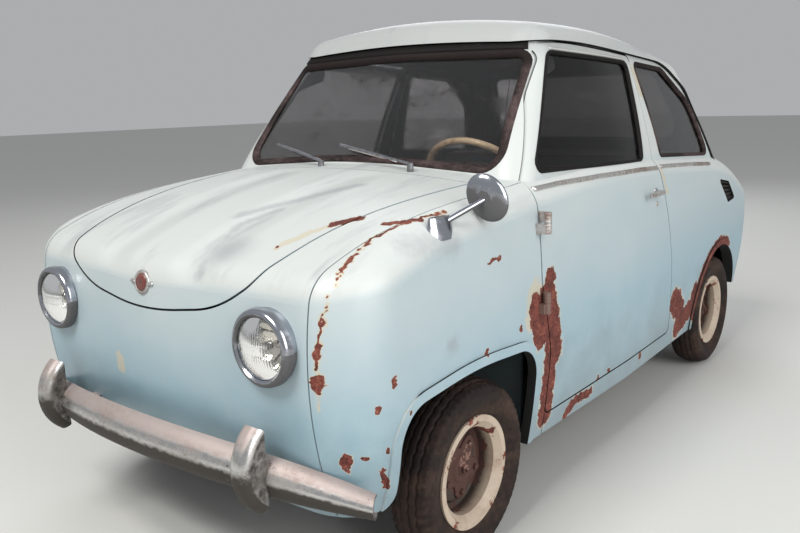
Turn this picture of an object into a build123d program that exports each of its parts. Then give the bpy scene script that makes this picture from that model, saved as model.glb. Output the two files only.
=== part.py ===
"""Two-door saloon microcar of about 1960: rear engine, front luggage lid, four small wheels.

Millimetres. The front points to -Y, the car's left to +X and up is +Z.
The origin is on the ground, under the middle of the car.
"""

import math
import os

from build123d import *

os.makedirs("parts", exist_ok=True)

# Stance
wheelbase = 1800
front_axle_y = -890
rear_axle_y = front_axle_y + wheelbase
track = 1090
wheel_x = track / 2
tyre_r = 226
tyre_w = 116
axle_z = tyre_r

# Body walls and shut lines
skin_t = 20
wall_t = 38
window_wall_t = 24
roof_overhang = 12
shut_gap = 5
seam_gap = 3
fit = 0.3
seal_t = 8
seal_lap = 12
pillar_w = 10
running_fit = 0.06
shoulder_r = 80
body_bottom_z = 200
nose_bottom_z = 257
tail_bottom_z = 285

# Lower body in plan, from the sill up
body_sections = (
    # height, nose y, nose sweep, front half, middle half, rear half, tail sweep, tail y
    (body_bottom_z, -1300, 34, 568, 600, 570, 40, 1350),
    (420, -1358, 36, 604, 616, 600, 46, 1412),
    (620, -1372, 38, 608, 620, 606, 50, 1425),
    (790, -1352, 40, 598, 608, 596, 54, 1398),
    (980, -1290, 44, 566, 580, 560, 60, 1330),
)
body_front_corner_r = 150
body_rear_corner_r = 130
plan_side_r = 2400

# Top of the lower body, from the nose to the tail
crown_x = 640
crown_stations = (
    # y, height at the centre, height at crown_x
    (-1480, 676, 660),
    (-1250, 808, 792),
    (-1050, 868, 845),
    (-775, 915, 872),
    (-300, 955, 903),
    (300, 945, 893),
    (850, 905, 858),
    (1200, 810, 762),
    (1480, 660, 610),
)

# Greenhouse in plan, from below the belt to above the roof
greenhouse_sections = (
    # height, front y, front sweep, front half, middle half, rear half, rear sweep, rear y
    (820, -690, 40, 572, 588, 574, 60, 1050),
    (930, -632, 38, 550, 570, 552, 60, 982),
    (1080, -524, 35, 508, 530, 508, 55, 890),
    (1380, -318, 30, 426, 448, 416, 50, 560),
)
screen_corner_r = 60
rear_corner_r = 95
roof_top_z = 1350 - roof_overhang
roof_peak_y = -185
roof_crown_x_r = 2800
roof_crown_y_r = 4350
roof_edge_r = 75

# Outlines seen from the side: (y, z) points with a corner radius each
roof_seam = ((-900, 1246, 0), (-200, 1270, 2500), (560, 1222, 300), (800, 1090, 250), (925, 860, 30),
             (930, 700, 0), (1500, 700, 0), (1500, 1500, 0), (-900, 1500, 0))
door_outline = ((-602, 640, 120), (-548, 450, 120), (-548, 262, 20), (390, 262, 20), (337, 538, 400),
                (268, 791, 120), (238, 880, 60), (276, 1234, 20), (-195, 1261, 1500), (-352, 1256, 30),
                (-600, 880, 60))
door_window = ((-545, 915, 20), (150, 899, 18), (214, 1215, 25), (-306, 1236, 44))
quarter_window = ((318, 900, 18), (274, 1216, 25), (545, 1200, 70), (748, 1078, 160), (838, 872, 25))
door_draft = 0.25
cabin_side_x = 440
door_outline_x = 600

# Outlines seen from the front: (x, z) points of the right-hand half, mirrored
windscreen = ((0, 1243, 3000), (442, 1233, 40), (486, 920, 50), (0, 952, 3000))
rear_window = ((368, 1205, 60), (440, 925, 70))
header_half = 450
header_z = 1259
header_rise = 18
lid_edge = ((0, 655, 900), (235, 690, 300), (345, 762, 90))
lid_front_y = -1420
lid_rear_y = -702
lid_rear_spread = 112
lid_swing_gap = 9

# Wheel arches: the front one seen from the side, the rear one round
front_arch = ((-1192, 478, 90), (-915, 502, 1200), (-630, 480, 90), (-634, 0, 0))
front_arch_foot_y = -1196
front_arch_foot_r = 55
rear_arch_r = 262
rear_arch_y = rear_axle_y + 26
rear_arch_z = axle_z + 8
arch_depth_x = 380
arch_lip_w = 24
arch_lip_t = 5

# Panel seams
fender_seam_front_x = 492
fender_seam_rear_x = 548
fender_seam_rear_y = -650
fender_rear_y = -553
tail_seam_x = 452
tail_seam_y = 860
engine_lid_half = 372
engine_lid_bottom_z = 470
engine_lid_front_y = 1215
engine_lid_corner_r = 40

# Doors
hinge_x = 630
hinge_y = -607
hinge_heights = (797, 590)
hinge_pin_r = 5
hinge_barrel_r = 9
hinge_leaf_h = 28
hinge_arm_w = 11

# Wheels, hubs and steering
rim_w = 92
flange_r = 140
bead_r = 128
well_r = 112
drum_r = 86
disc_x = -2
vent_count = 5
vent_r = 66
vent_w = 24
vent_arc = 30
vent_depth = 12
stub_r = 11
kingpin_x = 458
kingpin_r = 9
knuckle_h = 88

# Lamps and bumpers
headlamp_x = 393
headlamp_z = 631
headlamp_r = 83
headlamp_face_y = -1376
bumper_sections = (
    # share of the half width, height of the blade
    (0, 104),
    (0.5, 101),
    (0.75, 88),
    (0.9, 68),
    (1, 46),
)
bumper_z = 374
bumper_droop = 60
bumper_d = 36
bumper_t = 6
bumper_ends = (
    # name, face y, end y, end x, y where its irons meet the body
    ("front_bumper", -1450, -1307, 603, -1300),
    ("rear_bumper", 1450, 1395, 540, 1350),
)
iron_x = 300
overrider_x = 382
overrider_z = 380
overrider_h = 190
overrider_w = 52

# Cabin
floor_z = 212
floor_t = 18
bulkhead_t = 12
bulkhead_y = -604
footwell_half = 345
footwell_y = -772
bay_floor_z = 520
spring_top_z = 548
rear_bulkhead_y = 640
dash_half = 540
seat_x = 250
seat_w = 430
seat_d = 430
seat_front_y = -280
seat_cushion_z = 355
bench_front_y = 330
bench_z = 300
beam_r = 26

# Small fittings
handle_z = 790
handle_rear_y = 212
handle_l = 124
handle_h = 13
tail_lamp_x = 505
tail_lamp_y = 1345
tail_lamp_z = 600
mirror_foot = (572, -996, 842)
mirror_head = (613, -862, 890)
mirror_face = (-0.22, 1, 0.08)
mirror_up = (-0.5, -0.1, 0.86)
mirror_ovals = (
    # distance ahead of the glass, half width, half height
    (0, 44, 56),
    (7, 46, 58),
    (16, 36, 47),
    (22, 14, 20),
)
intake = ((893, 771, 8), (1026, 750, 8), (1112, 672, 8), (1015, 663, 8))
intake_back_x = 574
intake_face_x = 598
slat_count = 5
slat_t = 4
slat_rake = 9
louvre_l = 150
louvre_h = 9
louvre_pitch = 25
louvre_rows = 6
louvre_x = 165
louvre_z = 615
wiper_y = -672
wiper_z = 942
wiper_spans = ((-85, -295), (248, -30))

# Engine
engine_w = 400
engine_l = 330
engine_h = 320
engine_y = 990
engine_z = 290

# Steering wheel
steering_hub = (265, -335, 848)
steering_tilt = 38
steering_r = 190
steering_grip_r = 10


def save(piece, name):
    """Label a finished piece and write it."""
    piece.part.label = name
    export_step(piece.part, f"parts/{name}.step")


def block(x0, x1, y0, y1, z0, z1, mode=Mode.ADD):
    """A box between two corners, in the open part."""
    with Locations(((x0 + x1) / 2, (y0 + y1) / 2, (z0 + z1) / 2)):
        Box(x1 - x0, y1 - y0, z1 - z0, mode=mode)


def rod_x(x0, x1, y, z, r, mode=Mode.ADD):
    """A round bar along X, in the open part."""
    with Locations(Location(((x0 + x1) / 2, y, z), (0, 90, 0))):
        Cylinder(r, abs(x1 - x0), mode=mode)


def plan_outline(row, front_r, rear_r, inset):
    """One closed plan outline of lines and arcs, moved inwards by inset."""
    z, nose, sweep, front_half, middle_half, rear_half, tail_sweep, tail = row
    right = [(front_half - inset, nose + sweep + inset), (middle_half - inset, 0),
             (rear_half - inset, tail - tail_sweep - inset)]
    left = [(-x, y) for x, y in reversed(right)]
    points = [(0, nose + inset)] + right + [(0, tail - inset)] + left
    side_radii = [front_r - inset, plan_side_r, rear_r - inset]
    radii = [1500] + side_radii + [1500] + side_radii[::-1]
    with BuildSketch(Plane.XY.offset(z)) as outline:
        with BuildLine():
            FilletPolyline(*points, radius=radii, close=True)
        make_face()
    return outline.sketch


def body_form(inset):
    """The whole lower body as one closed form, moved inwards by inset."""
    with BuildPart() as crown:
        for y, centre_z, side_z in crown_stations:
            with BuildSketch(Plane.XZ.offset(-y)):
                with BuildLine():
                    ThreePointArc((-crown_x, side_z - inset), (0, centre_z - inset), (crown_x, side_z - inset))
                    Polyline((crown_x, side_z - inset), (crown_x, 0), (-crown_x, 0), (-crown_x, side_z - inset))
                make_face()
        loft()
    with BuildPart() as form:
        for row in body_sections:
            add(plan_outline(row, body_front_corner_r, body_rear_corner_r, inset))
        loft()
        add(crown.part, mode=Mode.INTERSECT)
        top = form.faces().sort_by(Axis.Z)[-1]
        fillet(top.edges(), shoulder_r - inset)
    return form.part


def greenhouse_form(inset):
    """Windows and roof as one closed form, moved inwards by inset."""
    crown_z = roof_top_z - inset
    reach = 620
    side_z = crown_z - reach ** 2 / (2 * roof_crown_x_r)
    with BuildPart() as dome:
        with BuildSketch(Plane.XZ.offset(-roof_peak_y)):
            with BuildLine():
                ThreePointArc((-reach, side_z), (0, crown_z), (reach, side_z))
                Polyline((reach, side_z), (reach, 700), (-reach, 700), (-reach, side_z))
            make_face()
        axle = Axis((0, roof_peak_y, roof_top_z - roof_crown_y_r), (1, 0, 0))
        revolve(axis=axle, revolution_arc=40)
    with BuildPart() as form:
        for row in greenhouse_sections:
            add(plan_outline(row, screen_corner_r + 20, rear_corner_r + 20, inset))
        loft()
        add(dome.part.rotate(axle, -20), mode=Mode.INTERSECT)
        top = form.faces().sort_by(Axis.Z)[-1]
        fillet(top.edges(), roof_edge_r - inset)
    return form.part


def side_prism(outline, grow, x0, x1, draft=0.0):
    """A (y, z) outline carried from x0 to x1; its rear shut face leans forward inboard by draft."""
    with BuildPart() as prism:
        for x in (x0, x1):
            shift = draft * (door_outline_x - x)
            points = [(y - shift if y > 0 else y, z) for y, z, r in outline]
            with BuildSketch(Plane.YZ.offset(x)):
                with BuildLine():
                    FilletPolyline(*points, radius=[r for y, z, r in outline], close=True)
                make_face()
                if grow:
                    offset(amount=grow, kind=Kind.ARC)
        loft(ruled=True)
    return prism.part


def front_prism(half, grow, y0, y1):
    """A front-view outline given by its right-hand half, carried from y0 to y1."""
    points = list(half) + [(-x, z, r) for x, z, r in reversed(half) if x]
    with BuildPart() as prism:
        with BuildSketch(Plane.XZ.offset(-y0)):
            with BuildLine():
                FilletPolyline(*[(x, z) for x, z, r in points], radius=[r for x, z, r in points], close=True)
            make_face()
            if grow:
                offset(amount=grow, kind=Kind.ARC)
        extrude(amount=-(y1 - y0))
    return prism.part


def lid_prism(grow):
    """The luggage lid's cutter: a smile-shaped front edge whose sides spread towards the screen.

    The opening's sides stand wider off the lid at its hinge, where the open lid swings forward.
    """
    rear_spread = lid_rear_spread + (lid_swing_gap - shut_gap if grow > 0 else 0)
    with BuildPart() as prism:
        for y, spread in ((lid_front_y, 0), (lid_rear_y + grow, rear_spread)):
            low = [(x + (spread if x else 0), z, r) for x, z, r in lid_edge]
            right = low[1:] + [(low[-1][0], 1100, 0)]
            points = low[:1] + right + [(-x, z, r) for x, z, r in reversed(right)]
            with BuildSketch(Plane.XZ.offset(-y)):
                with BuildLine():
                    FilletPolyline(*[(x, z) for x, z, r in points], radius=[r for x, z, r in points], close=True)
                make_face()
                if grow:
                    offset(amount=grow, kind=Kind.ARC)
        loft(ruled=True)
    return prism.part


def engine_lid_prism(grow):
    """The engine lid's cutter: straight hinge edge in front, rounded corners all round."""
    half = ((engine_lid_half - 8, 1000, 60), (engine_lid_half, engine_lid_bottom_z, 60))
    with BuildPart() as prism:
        add(front_prism(half, grow, engine_lid_front_y - grow, 1500))
        front = prism.edges().group_by(Axis.Y)[0].sort_by(Axis.X)
        fillet([front[0], front[-1]], engine_lid_corner_r + grow)
    return prism.part


def roof_prism(grow):
    """All that lies above the roof's lower edge, which arches over the windscreen."""
    side_z = header_z - grow
    with BuildPart() as prism:
        add(side_prism(roof_seam, grow, -700, 700))
        with BuildSketch(Plane.XZ.offset(900)):
            with BuildLine():
                ThreePointArc((-header_half, side_z), (0, side_z + header_rise), (header_half, side_z))
                Polyline((header_half, side_z), (header_half, 1200), (-header_half, 1200), (-header_half, side_z))
            make_face()
        extrude(amount=-600, mode=Mode.SUBTRACT)
    return prism.part


def front_arch_prism(grow):
    """The front arch's cutter from the side, with the space under the nose ahead of it."""
    nose = ((-1600, 0, 0), (-1600, nose_bottom_z, 0), (front_arch_foot_y, nose_bottom_z, front_arch_foot_r))
    return side_prism(nose + front_arch, grow, arch_depth_x, 700)


# Closed forms that every panel is cut from
body_outer = body_form(0)
body_skin_inner = body_form(skin_t)
body_wall_inner = body_form(wall_t)
greenhouse_outer = greenhouse_form(0)
greenhouse_inner = greenhouse_form(window_wall_t)
greenhouse_proud = greenhouse_form(-roof_overhang)
glass_outer = greenhouse_form(8)
glass_inner = greenhouse_form(13)

with BuildPart() as cabin_space:
    add(body_wall_inner)
    add(greenhouse_inner)

# Bands round the arches, standing proud of the flanks
with BuildPart() as lip_bands:
    add(front_arch_prism(arch_lip_w))
    block(0, 700, -1700, front_arch_foot_y - arch_lip_w, 0, 1000, mode=Mode.SUBTRACT)
    block(0, 700, -1500, front_axle_y, 0, nose_bottom_z, mode=Mode.SUBTRACT)
    rod_x(arch_depth_x, 700, rear_arch_y, rear_arch_z, rear_arch_r + arch_lip_w)
    block(0, 700, rear_arch_y, 1500, 0, tail_bottom_z, mode=Mode.SUBTRACT)
    add(body_form(-arch_lip_t), mode=Mode.INTERSECT)
    mirror(about=Plane.YZ)

with BuildPart() as body_with_lips:
    add(body_outer)
    add(lip_bands.part)

with BuildPart() as cabin_shell:
    add(body_with_lips.part)
    add(greenhouse_outer)
    add(cabin_space.part, mode=Mode.SUBTRACT)

with BuildPart() as skin_shell:
    add(body_with_lips.part)
    add(body_skin_inner, mode=Mode.SUBTRACT)
    add(greenhouse_outer, mode=Mode.SUBTRACT)

# Cutters
with BuildPart() as door_cutter:
    add(side_prism(door_outline, 0, 700, cabin_side_x, door_draft))
    add(front_prism(windscreen, pillar_w + shut_gap, -800, -250), mode=Mode.SUBTRACT)

with BuildPart() as door_opening_cutter:
    add(side_prism(door_outline, shut_gap, 700, cabin_side_x, door_draft))
    add(front_prism(windscreen, pillar_w, -800, -250), mode=Mode.SUBTRACT)

door_cut = door_cutter.part
door_opening = door_opening_cutter.part
lid_cut = lid_prism(0)
lid_opening = lid_prism(shut_gap)
roof_zone = roof_prism(0)
roof_zone_gap = roof_prism(seam_gap)
windscreen_cut = front_prism(windscreen, 0, -800, -250)
rear_window_cut = front_prism(rear_window, 0, 500, 1150)
door_window_cut = side_prism(door_window, 0, cabin_side_x, 700)
quarter_window_cut = side_prism(quarter_window, 0, cabin_side_x, 700)
engine_lid_cut = engine_lid_prism(0)
engine_lid_opening = engine_lid_prism(shut_gap)

with BuildPart() as left_arches:
    add(front_arch_prism(0))
    rod_x(arch_depth_x, 700, rear_arch_y, rear_arch_z, rear_arch_r)

with BuildPart() as fender_zone:
    with BuildSketch(Plane.XY):
        with BuildLine():
            Polyline((fender_seam_front_x, -1500), (700, -1500), (700, fender_rear_y),
                     (fender_seam_rear_x, fender_rear_y),
                     (fender_seam_rear_x, fender_seam_rear_y), (fender_seam_front_x, -1400), close=True)
        make_face()
    extrude(amount=1000)

with BuildPart() as fender_zone_gap:
    with BuildSketch(Plane.XY):
        add(fender_zone.faces().sort_by(Axis.Z)[0])
        offset(amount=seam_gap, kind=Kind.INTERSECTION)
    extrude(amount=1000)

# Front fenders: nose corner, arch and flank up to the door
with BuildPart() as fender_left:
    add(skin_shell.part)
    add(fender_zone.part, mode=Mode.INTERSECT)
    add(door_opening, mode=Mode.SUBTRACT)
    add(left_arches.part, mode=Mode.SUBTRACT)
save(fender_left, "fender_left")

with BuildPart() as fender_right:
    mirror(fender_left.part, about=Plane.YZ)
save(fender_right, "fender_right")

# Nose panel round the luggage lid, with the two headlamp holes
with BuildPart() as nose_panel:
    add(skin_shell.part)
    block(-620, 620, -1500, lid_rear_y, nose_bottom_z, 1000, mode=Mode.INTERSECT)
    add(lid_opening, mode=Mode.SUBTRACT)
    for side in (fender_zone_gap.part, fender_zone_gap.part.mirror(Plane.YZ)):
        add(side, mode=Mode.SUBTRACT)
    for x in (headlamp_x, -headlamp_x):
        with Locations(Location((x, headlamp_face_y, headlamp_z), (90, 0, 0))):
            Cylinder(headlamp_r - 4 + fit, 400, mode=Mode.SUBTRACT)
save(nose_panel, "nose_panel")

# Luggage lid
with BuildPart() as hood_lid:
    add(skin_shell.part)
    add(lid_cut, mode=Mode.INTERSECT)
save(hood_lid, "hood_lid")

# Scuttle, screen pillars and header
with BuildPart() as scuttle_zone:
    block(-600, 600, lid_rear_y + shut_gap, -500, 780, 1000)
    for side in (fender_zone_gap.part, fender_zone_gap.part.mirror(Plane.YZ)):
        add(side, mode=Mode.SUBTRACT)
    add(greenhouse_outer)
    block(-700, 700, lid_rear_y + shut_gap, 0, 780, 1400, mode=Mode.INTERSECT)

with BuildPart() as scuttle_and_pillars:
    add(cabin_shell.part)
    add(scuttle_zone.part, mode=Mode.INTERSECT)
    for side in (door_opening, door_opening.mirror(Plane.YZ)):
        add(side, mode=Mode.SUBTRACT)
    add(roof_zone_gap, mode=Mode.SUBTRACT)
    add(windscreen_cut, mode=Mode.SUBTRACT)
save(scuttle_and_pillars, "scuttle_and_pillars")

# Roof, down to the deck behind the quarter windows
with BuildPart() as roof_panel:
    add(greenhouse_proud)
    add(greenhouse_inner, mode=Mode.SUBTRACT)
    add(roof_zone, mode=Mode.INTERSECT)
    add(body_outer, mode=Mode.SUBTRACT)
    add(rear_window_cut, mode=Mode.SUBTRACT)
save(roof_panel, "roof_panel")

# Body sides behind the doors, with the sill under the door
with BuildPart() as roof_clear:
    add(roof_zone_gap)
    add(body_outer, mode=Mode.SUBTRACT)

with BuildPart() as tail_zone:
    block(-tail_seam_x, tail_seam_x, tail_seam_y, 1500, 0, 1000)

with BuildPart() as quarter_left:
    add(cabin_shell.part)
    block(300, 700, fender_rear_y + seam_gap, 1500, 0, 1400, mode=Mode.INTERSECT)
    add(door_opening, mode=Mode.SUBTRACT)
    block(300, 700, -700, 0, 400, 1400, mode=Mode.SUBTRACT)
    add(roof_clear.part, mode=Mode.SUBTRACT)
    block(0, tail_seam_x + seam_gap, tail_seam_y - seam_gap, 1500, 0, 1000, mode=Mode.SUBTRACT)
    add(quarter_window_cut, mode=Mode.SUBTRACT)
    add(rear_window_cut, mode=Mode.SUBTRACT)
    add(left_arches.part, mode=Mode.SUBTRACT)
    block(300, 700, rear_arch_y, 1500, 0, tail_bottom_z, mode=Mode.SUBTRACT)
    add(side_prism(intake, 0, intake_back_x, 700), mode=Mode.SUBTRACT)
save(quarter_left, "quarter_left")

with BuildPart() as quarter_right:
    mirror(quarter_left.part, about=Plane.YZ)
save(quarter_right, "quarter_right")

# Louvred air intake behind each quarter window: a back plate with raked slats
with BuildPart() as side_intakes:
    add(side_prism(intake, -fit, intake_back_x + fit, intake_back_x + slat_t))
    front_top, rear_top, rear_low, front_low = [Vector(0, y, z) for y, z, r in intake]
    for slat in range(slat_count):
        share = (slat + 0.5) / slat_count
        front = front_top + (front_low - front_top) * share
        rear = rear_top + (rear_low - rear_top) * share
        with BuildPart(mode=Mode.PRIVATE) as blade:
            for x, rise in ((intake_back_x + slat_t - 1, slat_rake), (intake_face_x, 0)):
                with BuildSketch(Plane.YZ.offset(x)):
                    with BuildLine():
                        Polyline((front.Y, front.Z + rise), (rear.Y, rear.Z + rise),
                                 (rear.Y, rear.Z + rise - slat_t), (front.Y, front.Z + rise - slat_t),
                                 close=True)
                    make_face()
            loft(ruled=True)
        add(blade.part)
    add(side_prism(intake, -fit, intake_back_x + fit, 700), mode=Mode.INTERSECT)
    mirror(about=Plane.YZ)
save(side_intakes, "side_intakes")

# Tail panel round the engine lid
with BuildPart() as tail_panel:
    add(skin_shell.part)
    add(tail_zone.part, mode=Mode.INTERSECT)
    block(-600, 600, tail_seam_y, 1500, tail_bottom_z, 1000, mode=Mode.INTERSECT)
    add(greenhouse_proud, mode=Mode.SUBTRACT)
    add(engine_lid_opening, mode=Mode.SUBTRACT)
save(tail_panel, "tail_panel")

with BuildPart() as engine_lid:
    add(skin_shell.part)
    add(engine_lid_cut, mode=Mode.INTERSECT)
    with BuildSketch(Plane.XZ.offset(-1500)):
        with Locations((0, louvre_z)):
            with GridLocations(2 * louvre_x, louvre_pitch, 2, louvre_rows):
                SlotOverall(louvre_l, louvre_h)
    extrude(amount=250, mode=Mode.SUBTRACT)
save(engine_lid, "engine_lid")

# Rubber seals under the shut lines of both lids
with BuildPart() as seal_rings:
    for make_prism in (lid_prism, engine_lid_prism):
        with BuildPart(mode=Mode.PRIVATE) as ring:
            add(make_prism(shut_gap + seal_lap))
            add(make_prism(-seal_lap), mode=Mode.SUBTRACT)
        add(ring.part)

with BuildPart() as lid_seals:
    add(body_form(skin_t + fit))
    add(body_form(skin_t + seal_t), mode=Mode.SUBTRACT)
    add(seal_rings.part, mode=Mode.INTERSECT)
    block(-600, 600, lid_rear_y + shut_gap - fit, 0, 0, 1000, mode=Mode.SUBTRACT)
save(lid_seals, "lid_seals")

# Doors
with BuildPart() as door_left:
    add(cabin_shell.part)
    add(door_cut, mode=Mode.INTERSECT)
    add(door_window_cut, mode=Mode.SUBTRACT)
save(door_left, "door_left")

with BuildPart() as door_right:
    mirror(door_left.part, about=Plane.YZ)
save(door_right, "door_right")

# Glass, seated edge to edge in its openings
with BuildPart() as glass_skin:
    add(glass_outer)
    add(glass_inner, mode=Mode.SUBTRACT)

with BuildPart() as fixed_openings:
    for cut in (windscreen_cut, rear_window_cut, quarter_window_cut, quarter_window_cut.mirror(Plane.YZ)):
        add(cut)

with BuildPart() as fixed_glass:
    add(glass_skin.part)
    add(fixed_openings.part, mode=Mode.INTERSECT)
save(fixed_glass, "fixed_glass")

with BuildPart() as door_glass_left:
    add(glass_skin.part)
    add(door_window_cut, mode=Mode.INTERSECT)
    add(door_cut, mode=Mode.INTERSECT)
save(door_glass_left, "door_glass_left")

with BuildPart() as door_glass_right:
    mirror(door_glass_left.part, about=Plane.YZ)
save(door_glass_right, "door_glass_right")

# Door handle and the door's half of each outside hinge
with BuildPart() as door_fittings_left:
    for z in hinge_heights:
        with Locations((hinge_x, hinge_y, z + hinge_leaf_h / 2)):
            Cylinder(hinge_barrel_r, hinge_leaf_h - 1)
        block(hinge_x - 60, hinge_x, hinge_y + 5, hinge_y + 5 + hinge_arm_w, z + 1, z + hinge_leaf_h - 1)
        with Locations((hinge_x, hinge_y, z + hinge_leaf_h / 2)):
            Cylinder(hinge_pin_r + running_fit, hinge_leaf_h, mode=Mode.SUBTRACT)
    with BuildSketch(Plane.XY.offset(handle_z - handle_h / 2)):
        with BuildLine():
            Polyline((560, handle_rear_y), (622, handle_rear_y), (638, handle_rear_y - 14),
                     (638, handle_rear_y - handle_l), (628, handle_rear_y - handle_l),
                     (628, handle_rear_y - 34), (560, handle_rear_y - 34), close=True)
        make_face()
    extrude(amount=handle_h)
    fillet(door_fittings_left.edges().filter_by(Axis.Y).group_by(Axis.X)[-1], 4)
    add(body_outer, mode=Mode.SUBTRACT)
save(door_fittings_left, "door_fittings_left")

with BuildPart() as door_fittings_right:
    mirror(door_fittings_left.part, about=Plane.YZ)
save(door_fittings_right, "door_fittings_right")

# Fender's half of each hinge, with the pins
with BuildPart() as hinge_posts:
    for z in hinge_heights:
        with Locations((hinge_x, hinge_y, z - hinge_leaf_h / 2)):
            Cylinder(hinge_barrel_r, hinge_leaf_h - 1)
        with Locations((hinge_x, hinge_y, z)):
            Cylinder(hinge_pin_r, 2 * hinge_leaf_h - 2)
        block(hinge_x - 60, hinge_x, hinge_y - 5 - hinge_arm_w, hinge_y - 5, z - hinge_leaf_h + 1, z - 1)
    add(body_outer, mode=Mode.SUBTRACT)
    mirror(about=Plane.YZ)
save(hinge_posts, "hinge_posts")

# Floor with the seat plinths and the tunnel
with BuildPart() as floor_pan:
    block(-620, 620, bulkhead_y, rear_bulkhead_y + bulkhead_t, floor_z, floor_z + floor_t)
    block(-footwell_half, footwell_half, footwell_y, bulkhead_y, floor_z, floor_z + floor_t)
    block(-75, 75, footwell_y + bulkhead_t, rear_bulkhead_y, floor_z, floor_z + 70)
    block(-500, 500, bench_front_y, rear_bulkhead_y, floor_z, bench_z)
    for x in (-seat_x, seat_x):
        block(x - 150, x + 150, seat_front_y + 60, seat_front_y + 400, floor_z, seat_cushion_z - fit)
    add(body_wall_inner, mode=Mode.INTERSECT)
save(floor_pan, "floor_pan")

# Bulkheads, footwell and the walls beside the luggage bay and the engine bay
with BuildPart() as bulkheads:
    floor_top = floor_z + floor_t
    block(-552, 552, bulkhead_y, bulkhead_y + bulkhead_t, floor_top, 790)
    block(-490, 490, bulkhead_y, bulkhead_y + bulkhead_t, floor_top, 900)
    block(-footwell_half, footwell_half, bulkhead_y, bulkhead_y + bulkhead_t, floor_top, bay_floor_z,
          mode=Mode.SUBTRACT)
    block(-footwell_half, footwell_half, footwell_y, footwell_y + bulkhead_t, floor_top, bay_floor_z)
    for side in (-1, 1):
        inner, outer = sorted((side * footwell_half, side * (footwell_half + bulkhead_t)))
        block(inner, outer, -1240, bulkhead_y, axle_z + beam_r + fit, 900)
        block(inner, outer, footwell_y, bulkhead_y, floor_z, 900)
        inner, outer = sorted((side * (footwell_half + bulkhead_t), side * 440))
        block(inner, outer, front_axle_y - 50, front_axle_y + 50, spring_top_z, spring_top_z + bulkhead_t)
        inner, outer = sorted((side * 468, side * (468 + bulkhead_t)))
        block(inner, outer, rear_bulkhead_y + bulkhead_t, 1165, 420, 800)
        inner, outer = sorted((side * 370, side * 468))
        block(inner, outer, rear_bulkhead_y + bulkhead_t, 1000, spring_top_z, spring_top_z + bulkhead_t)
    block(-footwell_half, footwell_half, -1240, bulkhead_y, bay_floor_z, bay_floor_z + bulkhead_t)
    block(-620, 620, rear_bulkhead_y, rear_bulkhead_y + bulkhead_t, floor_top, 862)
    add(cabin_space.part, mode=Mode.INTERSECT)
    add(scuttle_and_pillars.part, mode=Mode.SUBTRACT)
save(bulkheads, "bulkheads")

with BuildPart() as parcel_shelf:
    block(-620, 620, rear_bulkhead_y, 1100, 862, 862 + bulkhead_t)
    add(greenhouse_inner, mode=Mode.INTERSECT)
save(parcel_shelf, "parcel_shelf")

# Dashboard with its round instrument
with BuildPart() as dashboard:
    with BuildSketch(Plane.YZ.offset(-dash_half)):
        with BuildLine():
            FilletPolyline((bulkhead_y + bulkhead_t, 720), (bulkhead_y + bulkhead_t, 846), (-545, 858),
                           (-506, 846), (-512, 780), (-540, 720), radius=[0, 0, 20, 18, 30, 12], close=True)
        make_face()
    extrude(amount=2 * dash_half)
    with Locations(Location((steering_hub[0], -511, 812), (70, 0, 0))):
        Cylinder(52, 30)
    with Locations(Location((steering_hub[0], -497, 817), (70, 0, 0))):
        Cylinder(46, 6, mode=Mode.SUBTRACT)
save(dashboard, "dashboard")

# Steering column and wheel share the column's line
column_rise = math.radians(steering_tilt)
column_dir = Vector(0, math.cos(column_rise), math.sin(column_rise))
column_plane = Plane(origin=steering_hub, x_dir=(1, 0, 0), z_dir=column_dir)

with BuildPart() as steering_column:
    with BuildSketch(column_plane.offset(-360)):
        Circle(15)
    extrude(amount=360 - 24)
    with BuildSketch(column_plane.offset(-24)):
        Circle(8)
    extrude(amount=30)
    block(-620, 620, -1200, bulkhead_y + bulkhead_t, 0, 1000, mode=Mode.SUBTRACT)
save(steering_column, "steering_column")

with BuildPart() as steering_wheel:
    with BuildSketch(column_plane.offset(-18)):
        Circle(26)
    extrude(amount=36)
    with BuildSketch(column_plane.offset(-18)):
        Circle(8 + running_fit)
    extrude(amount=24 + 1, mode=Mode.SUBTRACT)
    with BuildSketch(column_plane.offset(-3)):
        with PolarLocations(steering_r / 2 + 5, 3, start_angle=90):
            Rectangle(steering_r - 30, 18)
    extrude(amount=6)
    with BuildSketch(Plane(steering_hub, x_dir=(1, 0, 0), z_dir=column_plane.y_dir)):
        with Locations((steering_r - steering_grip_r, 0)):
            Circle(steering_grip_r)
    revolve(axis=Axis(steering_hub, column_dir))
save(steering_wheel, "steering_wheel")

# Seats: plain closed cushions, one pair in front and a bench behind
def cushion(points, x, width, edge_r):
    """A cushion with a rounded (y, z) profile, centred on x."""
    with BuildPart() as pad:
        with BuildSketch(Plane.YZ.offset(x - width / 2)):
            with BuildLine():
                FilletPolyline(*points, radius=edge_r, close=True)
            make_face()
        extrude(amount=width)
    return pad.part


seat_rear_y = seat_front_y + seat_d
with BuildPart() as front_seats:
    for x in (-seat_x, seat_x):
        add(cushion(((seat_front_y, seat_cushion_z), (seat_front_y - 6, seat_cushion_z + 110),
                     (seat_rear_y, seat_cushion_z + 88), (seat_rear_y, seat_cushion_z)), x, seat_w, 20))
        add(cushion(((seat_rear_y + fit, seat_cushion_z + 10), (seat_rear_y + fit, seat_cushion_z + 100),
                     (seat_rear_y + 100, seat_cushion_z + 520), (seat_rear_y + 172, seat_cushion_z + 510),
                     (seat_rear_y + 80, seat_cushion_z + 10)), x, seat_w - 20, 24))
save(front_seats, "front_seats")

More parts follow.
